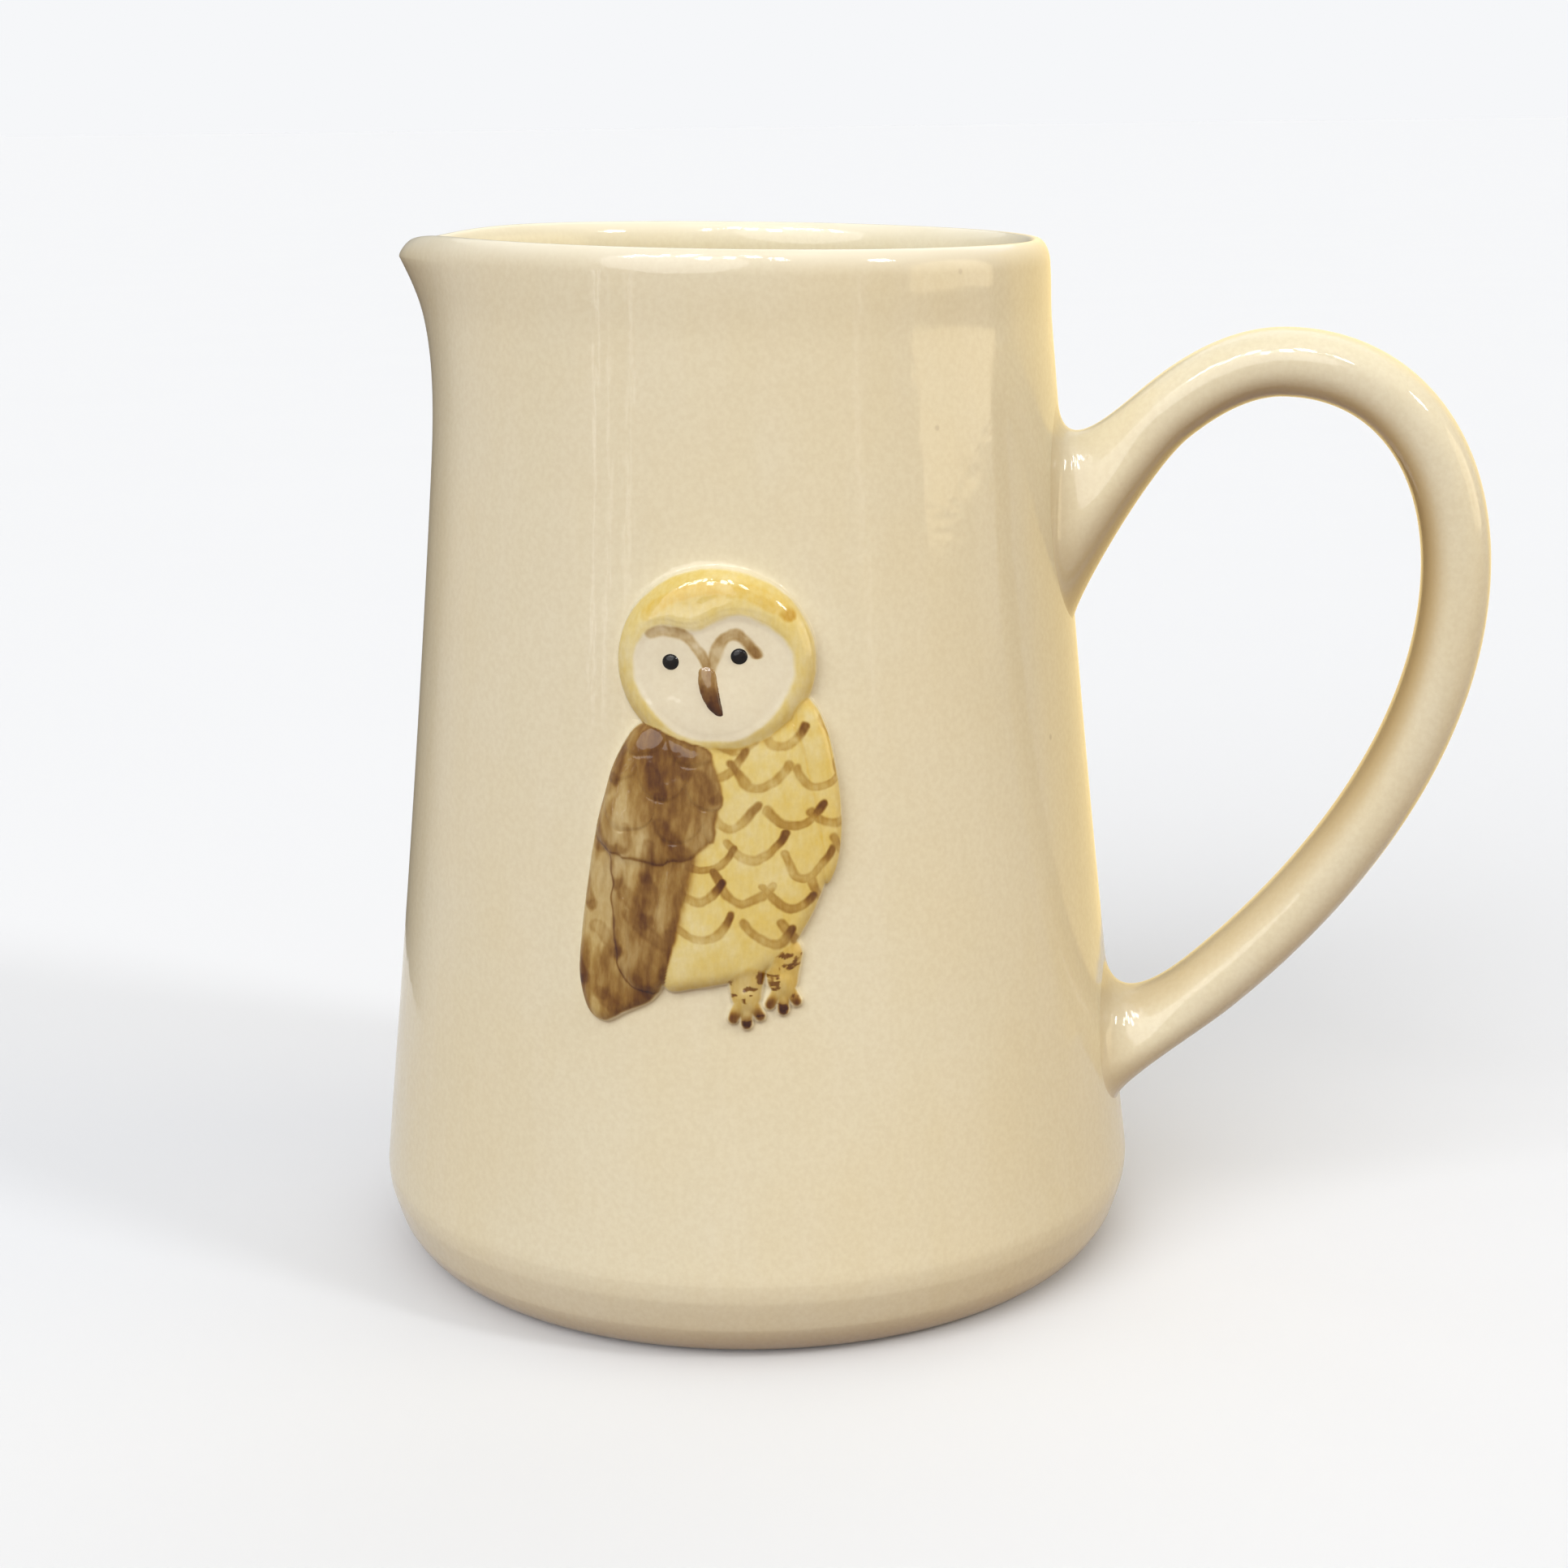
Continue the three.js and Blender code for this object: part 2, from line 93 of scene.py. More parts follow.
class VesselSizes(bpy.types.PropertyGroup):
    """The thrown vessel and its pulled spout"""

    height: length("Height", 130 * MM, "Height of the rim beside the spout")
    belly_radius: length("Belly radius", (VESSEL_HIGH.y - VESSEL_LOW.y) / 2, "Largest outer radius")
    belly_height: length("Belly height", 11 * MM, "Height of the largest radius")
    corner_width: length("Corner width", 7.5 * MM, "How far the foot is drawn in under the belly")
    rim_radius: length("Rim radius", 37.7 * MM, "Outer radius just under the lip")
    wall_bow: length("Wall bow", 0.6 * MM, "How far the wall is drawn in at mid height")
    wall: length("Wall", 4.4 * MM, "Wall thickness at the floor")
    floor: length("Floor", 5 * MM, "Floor thickness")
    floor_corner: length("Floor corner", 9 * MM, "Radius where the floor meets the wall inside")
    lip: length("Lip", 3.2 * MM, "Thickness of the lip")
    lip_rounding: length("Lip rounding", 3.2 * MM, "Height of the rounded top of the lip")
    lip_flare: length("Lip flare", 0.3 * MM, "How far the lip turns out")
    foot_recess: length("Foot recess", 0.6 * MM, "Depth of the turned hollow under the foot")
    foot_ring: length("Foot ring", 6 * MM, "Width of the ring that the jug stands on")
    spout_reach: length("Spout reach", 5.9 * MM, "How far the spout is pulled out")
    throat_depth: length("Throat depth", 26 * MM, "Height over which the spout grows out of the wall")
    spout_rise: length("Spout rise", 0.9 * MM, "How much higher the rim is at the spout")
    rise_depth: length("Rise depth", 34 * MM, "Height over which the rim rises")
    tip_run: length("Tip run", 7 * MM, "Length over which the lip flattens towards the tip")
    wobble: length("Wobble", 0.1 * MM, "How far the hand-thrown wall strays from round")


class StrapSizes(bpy.types.PropertyGroup):
    """The strap handle"""

    thickness: length("Thickness", 2 * HALF_STRAP, "Thickness of the strap in its own plane")
    width: length("Width", 11.6 * MM, "Width of the strap")
    crown_height: length("Crown height", HANDLE_HIGH.z - HALF_STRAP, "Height of the middle line at the top")
    crown_reach: length("Crown reach", 66.5 * MM, "Distance of the crown from the axis")
    grip_height: length("Grip height", 88.3 * MM, "Height of the outermost point")
    grip_reach: length("Grip reach", HANDLE_HIGH.x - HALF_STRAP, "Distance of the outermost middle line")
    crown_in: length("Crown sweep in", 11.5 * MM, "Straightness of the curve before the crown")
    crown_out: length("Crown sweep out", 12.8 * MM, "Straightness of the curve after the crown")
    grip_up: length("Grip sweep up", 16 * MM, "Straightness of the curve before the grip")
    grip_down: length("Grip sweep down", 34 * MM, "Straightness of the curve after the grip")
    upper_root: length("Upper root", 94 * MM, "Height of the middle of the upper root")
    upper_run: length("Upper root run", 7.3 * MM, "How far the strap leaves the wall straight")
    upper_lean: turn("Upper root lean", 57, "Angle of the strap above level where it leaves the wall")
    upper_above: length("Upper root above", 16 * MM, "How far the upper root climbs the wall")
    upper_below: length("Upper root below", 11.8 * MM, "How far the upper root runs down the wall")
    lower_root: length("Lower root", 26.2 * MM, "Height of the middle of the lower root")
    lower_run: length("Lower root run", 3.5 * MM, "How far the strap meets the wall straight")
    lower_lean: turn("Lower root lean", 10, "Angle of the strap above level where it meets the wall")
    lower_above: length("Lower root above", 12.5 * MM, "How far the lower root climbs the wall")
    lower_below: length("Lower root below", 7 * MM, "How far the lower root runs down the wall")
    root_width: length("Root width", 20.5 * MM, "Width of a root on the wall")
    upper_blend: length("Upper blend", 19 * MM, "Length of strap that blends into the upper root")
    lower_blend: length("Lower blend", 15 * MM, "Length of strap that blends into the lower root")


class OwlSizes(bpy.types.PropertyGroup):
    """The owl in relief"""

    width: length("Width", 30 * MM, "Width of the owl round the wall")
    height: length("Height", 53.3 * MM, "Height of the owl")
    foot: length("Foot", 41.7 * MM, "Height of its lowest point above the table")
    meridian: turn("Meridian", -85, "Angle round the jug of the owl's middle line")
    edge: length("Edge", 1.5 * MM, "Width of the rounded edge of the relief")
    softness: length("Softness", 0.2 * MM, "How far glaze fills the creases")
    paint_edge: length("Paint edge", 0.05 * MM, "Difference in height over which two colours meet")
    face_width: length("Face width", 17.6 * MM, "Width of the face")
    face_height: length("Face height", 14.9 * MM, "Height of the face")
    face_notch: length("Face notch", 1.7 * MM, "Depth of the notch in the top of the face")
    face_turn: length("Face turn", 0.9 * MM, "How far the eyes lie to the left of the face's middle")
    face_tilt: length("Face tilt", 0.34 * MM, "How far one eye is raised and the other lowered")
    eye: length("Eye", 1.8 * MM, "Diameter of an eye")
    eye_spacing: length("Eye spacing", 7.4 * MM, "Distance between the middles of the eyes")
    beak_width: length("Beak width", 1.8 * MM, "Width of the beak")
    beak_length: length("Beak length", 5 * MM, "Length of the beak")


class GlazeColours(bpy.types.PropertyGroup):
    """Glaze and the stains under it"""

    cream: colour("Cream", (229, 220, 191), "The glaze over pale clay")
    thin: colour("Thin glaze", (235, 227, 205), "Where the glaze runs thin over an edge")
    # The pooled colour also paints shade over the foot and on the handle's inner side and roots.
    pool: colour("Pooled glaze", (186, 160, 112), "Where the glaze pools")
    clay: colour("Bare clay", (214, 196, 168), "The fired clay under the foot")
    speck: colour("Speck", (120, 84, 50), "Iron specks in the clay")
    gold: colour("Gold", (223, 189, 98), "Stain of the ruff and legs")
    straw: colour("Straw", (222, 201, 126), "Stain of the breast")
    umber: colour("Umber", (139, 104, 52), "Stain of the wings and tail")
    white: colour("White", (236, 230, 216), "Slip on the face")
    black: colour("Black", (14, 12, 11), "The eyes")


class StudioSettings(bpy.types.PropertyGroup):
    """The floor, the light and the camera"""

    distance: length("Camera distance", 340 * MM, "Distance of the camera from the jug's axis, on the level")
    camera_height: length("Camera height", 144.05 * MM, "Height of the camera above the floor")
    aside: length("Camera aside", 4.17 * MM, "How far the camera stands to the right")
    pitch: turn("Pitch", 13.97, "How far the camera looks down")
    yaw: turn("Yaw", 10, "How far the camera is turned about the jug")
    roll: turn("Roll", -0.745, "How far the camera leans")
    lens: FloatProperty(
        name="Lens", description="Focal length in millimetres", default=61.58, subtype="DISTANCE_CAMERA"
    )
    ambient: level("Ambient", 0.53, "Share of the light on the floor that comes from the whole sky")
    side_level: level("Side lamp", 0.11, "Share of the light on the floor that comes from the side lamp")
    side_azimuth: turn("Side azimuth", -20, "Direction of the side lamp about the jug")
    side_height: turn("Side height", 36, "Height of the side lamp above the horizon")
    front_level: level("Front lamp", 0.37, "Share of the light on the floor that comes from the front lamp")
    front_azimuth: turn("Front azimuth", -107, "Direction of the front lamp about the jug")
    front_height: turn("Front height", 31, "Height of the front lamp above the horizon")
    back_level: level("Back lamp", 0.08, "Share of the light on the floor that comes from the back lamp")
    back_azimuth: turn("Back azimuth", 80, "Direction of the back lamp about the jug")
    back_height: turn("Back height", 30, "Height of the back lamp above the horizon")
    warm_level: level("Warm lamp", 0.04, "Share of the light on the floor that comes from the low warm lamp")
    warm_azimuth: turn("Warm azimuth", 4, "Direction of the warm lamp about the jug")
    warm_height: turn("Warm height", 6, "Height of the warm lamp above the horizon")
    warm_tint: colour("Warm tint", (255, 234, 184), "Tint of the warm lamp")
    backdrop: colour("Backdrop", (246, 247, 249), "The paper that floor and background are made of")
    table: colour("Table", (114, 78, 44), "Tint of the light that comes up from below")


class PotteryDetail(bpy.types.PropertyGroup):
    """How finely the surfaces are divided"""

    around: IntProperty(name="Around", description="Divisions round the vessel", default=256, min=32)
    strap_around: IntProperty(
        name="Strap around", description="Divisions round the strap", default=96, min=12
    )
    fineness: length("Fineness", 0.16 * MM, "Spacing of the points on the owl")


# Mesh helpers


def smooth_step(value, start, end):
    """0 before start, 1 after end, and a smooth cubic between them."""
    share = np.clip((value - start) / (end - start), 0, 1)
    return share * share * (3 - 2 * share)


def mix(low, high, share):
    """Straight blend from low to high."""
    return low + (high - low) * share


def wrapped_quads(rows, columns):
    """Corner indices of the quads of a grid whose columns close into rings."""
    row, column = np.meshgrid(np.arange(rows - 1), np.arange(columns), indexing="ij")
    following = (column + 1) % columns
    corners = [row * columns + column, row * columns + following]
    corners += [(row + 1) * columns + following, (row + 1) * columns + column]
    return np.stack(corners, axis=-1).reshape(-1, 4)


def put_rings(name, rings, first, last, attributes):
    """Makes a closed object from rings of points, with a fan from each end ring to a point.

    rings has the shape (rows, columns, 3). attributes holds a value or a colour for each ring point, by name;
    the two end points take the mean of their ring.
    """
    rows, columns = rings.shape[:2]
    points = np.concatenate([rings.reshape(-1, 3), [first, last]])
    quads = wrapped_quads(rows, columns)
    column = np.arange(columns)
    following = (column + 1) % columns
    base = (rows - 1) * columns
    start_fan = np.stack([following, column, np.full(columns, rows * columns)], axis=1)
    end_fan = np.stack([base + column, base + following, np.full(columns, rows * columns + 1)], axis=1)
    fans = np.concatenate([start_fan, end_fan])
    corners = np.concatenate([quads.ravel(), fans.ravel()])
    starts = np.concatenate([4 * np.arange(len(quads)), quads.size + 3 * np.arange(len(fans))])
    mesh = bpy.data.meshes.new(name)
    mesh.vertices.add(len(points))
    mesh.vertices.foreach_set("co", points.astype(np.float32).ravel())
    mesh.loops.add(len(corners))
    mesh.loops.foreach_set("vertex_index", corners.astype(np.int32))
    mesh.polygons.add(len(starts))
    mesh.polygons.foreach_set("loop_start", starts.astype(np.int32))
    mesh.polygons.foreach_set("use_smooth", np.ones(len(starts), dtype=bool))
    mesh.update(calc_edges=True)
    for key, values in attributes.items():
        ends = [values[0].mean(axis=0), values[-1].mean(axis=0)]
        if values.ndim == 3:
            values = np.concatenate([values.reshape(-1, 3), ends])
            values = np.concatenate([values, np.ones((len(values), 1))], axis=1)
            layer, field = mesh.attributes.new(key, "FLOAT_COLOR", "POINT"), "color"
        else:
            values = np.concatenate([values.ravel(), ends])
            layer, field = mesh.attributes.new(key, "FLOAT", "POINT"), "value"
        layer.data.foreach_set(field, values.astype(np.float32).ravel())
    piece = bpy.data.objects.new(name, mesh)
    bpy.context.scene.collection.objects.link(piece)
    return piece


def finish_piece(piece, slot, material, *nodes):
    """Gives a piece its material and its body, and hides the solids that it stands for; slot is not used."""
    piece.data.materials.append(material)
    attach(piece, BODY)
    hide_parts(*nodes)
    return piece


# The wall, which every other piece sits on


def taper(sizes, z):
    """Outer radius of the round wall: a straight taper from belly to lip, less a parabola for the bow."""
    top = sizes.height - sizes.lip_rounding
    share = (z - sizes.belly_height) / (top - sizes.belly_height)
    straight = sizes.belly_radius + (sizes.rim_radius - sizes.belly_radius) * share
    return straight - 4 * sizes.wall_bow * share * (1 - share)


# Waves round the thrown wall: how many there are in a turn, where they start and how far they twist from the
# table to the rim, both in radians, and how strong they are
THROWN_WAVES = ((2, 1.3, 2.1, 1.0), (3, -0.7, -3.9, 0.6), (5, 2.2, 6.5, 0.3))


def wobble(sizes, angle, z):
    """Three slow waves round the wall, which twist as they climb and fade out at the foot."""
    climb = z / sizes.height
    waves = sum(
        strength * np.sin(count * angle + start + twist * climb)
        for count, start, twist, strength in THROWN_WAVES
    )
    return sizes.wobble * waves * smooth_step(z, 0, 2 * sizes.belly_height)


def on_wall(sizes, angle, z, proud):
    """Points that stand proud of the wall along its normal: out by the cosine of its lean, up by the sine."""
    step = MM
    lean = np.arctan((taper(sizes, z - step) - taper(sizes, z + step)) / (2 * step))
    radius = taper(sizes, z) + wobble(sizes, angle, z) + proud * np.cos(lean)
    return np.stack([radius * np.cos(angle), radius * np.sin(angle), z + proud * np.sin(lean)], axis=-1)


# Points in each stretch of the vessel's profile; from the corner on, the first is that of the stretch before
PROFILE_ROWS = {
    "hollow": 14, "ring": 8, "corner": 60, "wall": 130, "lip": 30, "inside": 56, "bowl": 18, "floor": 10,
}


def vessel_profile(sizes):
    """Radii and heights from under the foot, up the outside, over the lip, and down to the floor inside.

    The foot is flat round a shallow hollow. The bottom corner is a quarter ellipse with one turned facet,
    where the arc is drawn most of the way to its chord. The lip is half an ellipse, and the floor meets the
    wall in an arc.
    """
    innermost, flare_depth, rows = 0.02, 7 * MM, PROFILE_ROWS
    foot_radius = sizes.belly_radius - sizes.corner_width
    hollow = foot_radius - sizes.foot_ring
    under = np.linspace(innermost, 1, rows["hollow"]) * hollow
    ring = np.linspace(hollow + MM, foot_radius, rows["ring"])
    underside = np.concatenate([under, ring])
    underside_z = sizes.foot_recess * (1 - smooth_step(underside, hollow - MM, hollow + 2 * MM))

    facet_top, facet_bottom, flatness = np.radians(-12.6), np.radians(-35), 0.7
    angle = np.linspace(-np.pi / 2, 0, rows["corner"])[1:]
    corner = np.stack([np.cos(angle), np.sin(angle)])
    share = (angle - facet_bottom) / (facet_top - facet_bottom)
    ends = [np.array([[np.cos(a)], [np.sin(a)]]) for a in (facet_bottom, facet_top)]
    chord = ends[0] + (ends[1] - ends[0]) * share
    corner = np.where((share > 0) & (share < 1), mix(corner, chord, flatness), corner)
    corner_radius = foot_radius + sizes.corner_width * corner[0]
    corner_z = sizes.belly_height * (1 + corner[1])

    top = sizes.height - sizes.lip_rounding
    wall_z = np.linspace(sizes.belly_height, top, rows["wall"])[1:]
    flare = sizes.lip_flare * smooth_step(wall_z, top - flare_depth, top)
    wall_radius = taper(sizes, wall_z) + flare

    angle = np.linspace(0, np.pi, rows["lip"])[1:]
    lip_middle = sizes.rim_radius + sizes.lip_flare - sizes.lip / 2
    lip_radius = lip_middle + sizes.lip / 2 * np.cos(angle)
    lip_z = top + sizes.lip_rounding * np.sin(angle)

    bowl = sizes.floor + sizes.floor_corner
    inside_z = np.linspace(top, bowl, rows["inside"])[1:]
    wall = mix(sizes.wall, sizes.lip, (inside_z - sizes.floor) / (top - sizes.floor))
    flare = sizes.lip_flare * smooth_step(inside_z, top - flare_depth, top)
    inside_radius = taper(sizes, inside_z) - wall + flare
    angle = np.linspace(0, -np.pi / 2, rows["bowl"])[1:]
    bowl_middle = inside_radius[-1] - sizes.floor_corner
    bowl_radius = bowl_middle + sizes.floor_corner * np.cos(angle)
    bowl_z = bowl + sizes.floor_corner * np.sin(angle)
    floor_radius = np.linspace(1, innermost, rows["floor"])[1:] * bowl_middle
    floor_z = np.full(floor_radius.shape, sizes.floor)

    radius = [underside, corner_radius, wall_radius, lip_radius, inside_radius, bowl_radius, floor_radius]
    height = [underside_z, corner_z, wall_z, lip_z, inside_z, bowl_z, floor_z]
    return np.concatenate(radius), np.concatenate(height)


def pull_spout(sizes, radius, angle, z):
    """Moves the rim of the round vessel into its spout.

    The pull is a power of the height in the throat, times two bell curves of the angle from -X, one for the
    tip and one for its cheeks. Near the tip the lip keeps less of its rounding. The whole rim rises towards
    the spout.
    """
    tip_width, cheek_width, tip_part = np.radians(19), np.radians(36), 0.62
    pull_power, flattening = 2.8, 0.7
    from_spout = np.abs(np.arctan2(np.sin(angle), -np.cos(angle)))
    lip_base = sizes.height - sizes.lip_rounding
    climb = np.clip((z - lip_base) / sizes.throat_depth + 1, 0, 1)
    at_tip = np.exp(-((from_spout / tip_width) ** 2))
    at_cheeks = np.exp(-((from_spout / cheek_width) ** 2))
    bell = tip_part * at_tip + (1 - tip_part) * at_cheeks
    pulled = radius + sizes.spout_reach * climb**pull_power * bell
    tip = np.maximum(0, 1 - (sizes.rim_radius + sizes.spout_reach - pulled) / sizes.tip_run)
    height = np.minimum(z, lip_base) + np.maximum(0, z - lip_base) * (1 - flattening * tip**2)
    lean = -radius * np.cos(angle) / sizes.rim_radius
    lift = sizes.spout_rise * smooth_step(z, sizes.height - sizes.rise_depth, sizes.height) * lean
    return pulled, height + lift


def make_vessel(context):
    """The glazed vessel: its profile turned about the axis, with the spout pulled out of it.

    The glaze is thin over the lip, and pools on the floor inside. A band just over the foot is darkened with
    the pooled colour as painted shade. The ring that the jug stands on is bare.
    """
    sizes = context.scene.vessel_sizes
    profile_radius, profile_z = vessel_profile(sizes)
    columns = context.scene.pottery_detail.around
    angle = np.linspace(0, 2 * np.pi, columns, endpoint=False)[None, :]
    z = profile_z[:, None] + 0 * angle
    radius = profile_radius[:, None] + wobble(sizes, angle, z)
    outer, height = pull_spout(sizes, radius, angle, z)
    points = np.stack([outer * np.cos(angle), outer * np.sin(angle), height], axis=-1)

    thin_depth, floor_reach, foot_shade_strength = 1.8 * MM, 3 * MM, 0.3
    thin = np.exp(-(((sizes.height - z) / thin_depth) ** 2))
    foot_radius = sizes.belly_radius - sizes.corner_width
    ring_start = foot_radius - sizes.foot_ring
    bare = smooth_step(radius, ring_start, ring_start + MM)
    bare = bare * (1 - smooth_step(z, 0.05 * MM, 0.5 * MM)) * (radius < foot_radius + MM)
    on_floor = np.exp(-(((z - sizes.floor) / floor_reach) ** 2)) * (z > sizes.floor - 0.1 * MM)
    # Painted shade: the pooled colour darkens a band just over the foot, where the corner turns under.
    foot_shade_band = foot_shade_strength * (1 - smooth_step(z, 3 * MM, 6 * MM))
    past_lip = np.arange(len(profile_z))[:, None] > profile_z.argmax()
    attributes = {"thin": thin, "bare": bare, "pool": np.where(past_lip, on_floor, foot_shade_band)}
    first = (0, 0, sizes.foot_recess)
    last = (0, 0, sizes.floor)
    piece = put_rings("glazed_vessel", points, first, last, attributes)
    return finish_piece(piece, "cream", cream_glaze(context), "vessel")


# The strap handle


def bezier(points, count):
    """Points on a cubic curve: the four controls weighted by the Bernstein polynomials."""
    share = np.linspace(0, 1, count)[:, None]
    controls = np.asarray(points, dtype=float)
    rest = 1 - share
    weights = [rest**3, 3 * rest**2 * share, 3 * rest * share**2, share**3]
    return sum(weight * control for weight, control in zip(weights, controls))


def strap_line(vessel, strap):
    """The middle line of the strap in its own plane, as three cubic curves, divided evenly by length."""
    start = np.array([taper(vessel, strap.upper_root), strap.upper_root])
    end = np.array([taper(vessel, strap.lower_root), strap.lower_root])
    crown = np.array([strap.crown_reach, strap.crown_height])
    grip = np.array([strap.grip_reach, strap.grip_height])
    leave = start + strap.upper_run * np.array([np.cos(strap.upper_lean), np.sin(strap.upper_lean)])
    arrive = end + strap.lower_run * np.array([np.cos(strap.lower_lean), np.sin(strap.lower_lean)])
    steps = 200
    curves = [
        bezier([start, leave, crown - (strap.crown_in, 0), crown], steps),
        bezier([crown, crown + (strap.crown_out, 0), grip + (0, strap.grip_up), grip], steps)[1:],
        bezier([grip, grip - (0, strap.grip_down), arrive, end], 2 * steps)[1:],
    ]
    line = np.concatenate(curves)
    distance = np.concatenate([[0], np.cumsum(np.hypot(*np.diff(line, axis=0).T))])
    return line, distance


def along_line(line, distance, places):
    """Points of a line, and its direction, at given distances from its start."""
    def at(where):
        return np.stack([np.interp(where, distance, line[:, k]) for k in range(2)], axis=-1)

    step = 0.5 * MM
    ahead = at(np.minimum(places + step, distance[-1])) - at(np.maximum(places - step, 0))
    return at(places), ahead / np.linalg.norm(ahead, axis=-1, keepdims=True)


def strap_rings(strap, middle, direction, around):
    """Sections of the strap: flattened ovals, square to the line, with the outer side of the loop at angle 0.

    An oval's squareness is the power of its curve: 2 is an ellipse, and more is squarer.
    """
    squareness = 2.25
    power = 2 / squareness
    side = np.cos(around)
    face = np.sin(around)
    side = np.sign(side) * np.abs(side) ** power * strap.thickness / 2
    face = np.sign(face) * np.abs(face) ** power * strap.width / 2
    normal = np.stack([-direction[:, 1], direction[:, 0]], axis=-1)
    flat = middle[:, None, :] + normal[:, None, :] * side[None, :, None]
    y = np.broadcast_to(face, flat.shape[:2])
    return np.stack([flat[..., 0], y, flat[..., 1]], axis=-1)


def root_rings(vessel, strap, height, above, below, up, ring, direction, blend, rows, around):
    """Rings that carry an oval on the wall into a section of the strap.

    Each line from the wall to the strap is a cubic Hermite curve. At the wall it starts along the wall,
    towards the middle of the root, and longer on the side where the root is filleted; at the strap it ends
    along the strap. up is 1 where angle 0 of the section looks up the wall, and -1 where it looks down.
    """
    sunk, short_pull, long_pull, inward_share = 0.04 * MM, 6 * MM, 24 * MM, 0.9
    rise = up * np.cos(around)
    reach = np.where(rise > 0, above, below)
    arc = strap.root_width / 2 * np.sin(around)
    z = height + reach * rise

    def wall_point(share):
        return on_wall(vessel, share * arc / taper(vessel, z), height + (z - height) * share, -sunk)

    foot = wall_point(1.0)
    inward = wall_point(inward_share) - foot
    inward = inward / np.linalg.norm(inward, axis=-1, keepdims=True)
    fillet = mix(short_pull, long_pull, smooth_step(rise, -1, 1))
    start_pull = inward * fillet[:, None]
    end_pull = np.array([direction[0], 0, direction[1]]) * blend
    share = np.linspace(0, 1, rows)[:, None, None]
    weights = [
        2 * share**3 - 3 * share**2 + 1,
        share**3 - 2 * share**2 + share,
        3 * share**2 - 2 * share**3,
        share**3 - share**2,
    ]
    return weights[0] * foot + weights[1] * start_pull + weights[2] * ring + weights[3] * end_pull


def make_handle(context):
    """The glazed strap handle: an oval section carried along the loop, blended at both ends into the wall.

    The pooled colour darkens the inner side of the loop, most at the grip, as painted shade, and the creases
    where it joins the wall, as pooled glaze deepened into painted shade.
    """
    strap_rows, upper_rows, lower_rows, end_depth = 150, 44, 36, 2 * MM
    crease_reach, crease_shade, crown_inner_shade, grip_inner_shade = 3.5 * MM, 0.55, 0.85, 1.6
    vessel, strap = context.scene.vessel_sizes, context.scene.strap_sizes
    around = -np.linspace(0, 2 * np.pi, context.scene.pottery_detail.strap_around, endpoint=False)
    line, distance = strap_line(vessel, strap)
    places = np.linspace(strap.upper_blend, distance[-1] - strap.lower_blend, strap_rows)
    middle, direction = along_line(line, distance, places)
    strap_part = strap_rings(strap, middle, direction, around)
    upper = root_rings(
        vessel, strap, strap.upper_root, strap.upper_above, strap.upper_below, 1,
        strap_part[0], direction[0], strap.upper_blend, upper_rows, around,
    )
    lower = root_rings(
        vessel, strap, strap.lower_root, strap.lower_above, strap.lower_below, -1,
        strap_part[-1], -direction[-1], strap.lower_blend, lower_rows, around,
    )
    rings = np.concatenate([upper[:-1], strap_part, lower[-2::-1]])
    first = on_wall(vessel, np.array(0.0), np.array(strap.upper_root), -end_depth)
    last = on_wall(vessel, np.array(0.0), np.array(strap.lower_root), -end_depth)
    nothing = np.zeros(rings.shape[:2])
    off_wall = np.hypot(rings[..., 0], rings[..., 1]) - taper(vessel, rings[..., 2])
    # Painted shade: darker in the creases at the roots and along the inner side of the loop, most at the
    # grip.
    crease = crease_shade * np.exp(-((off_wall / crease_reach) ** 2))
    inner_side = smooth_step(-np.cos(around), 0.1, 0.95)[None, :]
    on_grip = smooth_step(rings[..., 0].mean(axis=1), strap.crown_reach, strap.grip_reach)[:, None]
    pool = np.maximum(crease, mix(crown_inner_shade, grip_inner_shade, on_grip) * inner_side)
    attributes = {"thin": nothing, "bare": nothing, "pool": pool}
    piece = put_rings("glazed_handle", rings, first, last, attributes)
    nodes = ("handle", "upper_handle_slip", "lower_handle_slip")
    return finish_piece(piece, "cream", cream_glaze(context), *nodes)


# The owl in relief


# Outlines of the raised forms, as shares of the owl's width from its middle and of its height from its
# lowest point
OUTLINE_SHARES = {
    "tail": (
        (-0.42, 0.52), (-0.33, 0.48), (-0.26, 0.24), (-0.19, 0.12), (-0.24, 0.06), (-0.35, 0.025),
        (-0.445, 0), (-0.52, 0.025), (-0.555, 0.1), (-0.543, 0.2), (-0.515, 0.31), (-0.48, 0.42),
    ),
    "primaries": (
        (-0.42, 0.42), (-0.3, 0.44), (-0.08, 0.46), (0.045, 0.43), (0.025, 0.35), (-0.035, 0.27),
        (-0.095, 0.2), (-0.155, 0.13), (-0.23, 0.075), (-0.32, 0.08), (-0.385, 0.125), (-0.41, 0.2),
        (-0.41, 0.3),
    ),
    "coverts": (
        (-0.3, 0.66), (-0.2, 0.675), (-0.07, 0.655), (0.03, 0.605), (0.07, 0.52), (0.055, 0.44), (0, 0.385),
        (-0.12, 0.35), (-0.35, 0.35), (-0.465, 0.41), (-0.44, 0.49), (-0.39, 0.58),
    ),
    "far_wing": (
        (0.26, 0.74), (0.35, 0.725), (0.42, 0.665), (0.465, 0.56), (0.485, 0.46), (0.475, 0.37), (0.43, 0.31),
        (0.38, 0.34), (0.36, 0.45), (0.3, 0.6),
    ),
    "breast": (
        (-0.14, 0.66), (0.05, 0.685), (0.24, 0.7), (0.36, 0.66), (0.43, 0.5), (0.445, 0.38), (0.4, 0.28),
        (0.3, 0.18), (0.19, 0.125), (0.06, 0.1), (-0.08, 0.085), (-0.2, 0.085), (-0.24, 0.2), (-0.12, 0.45),
    ),
}
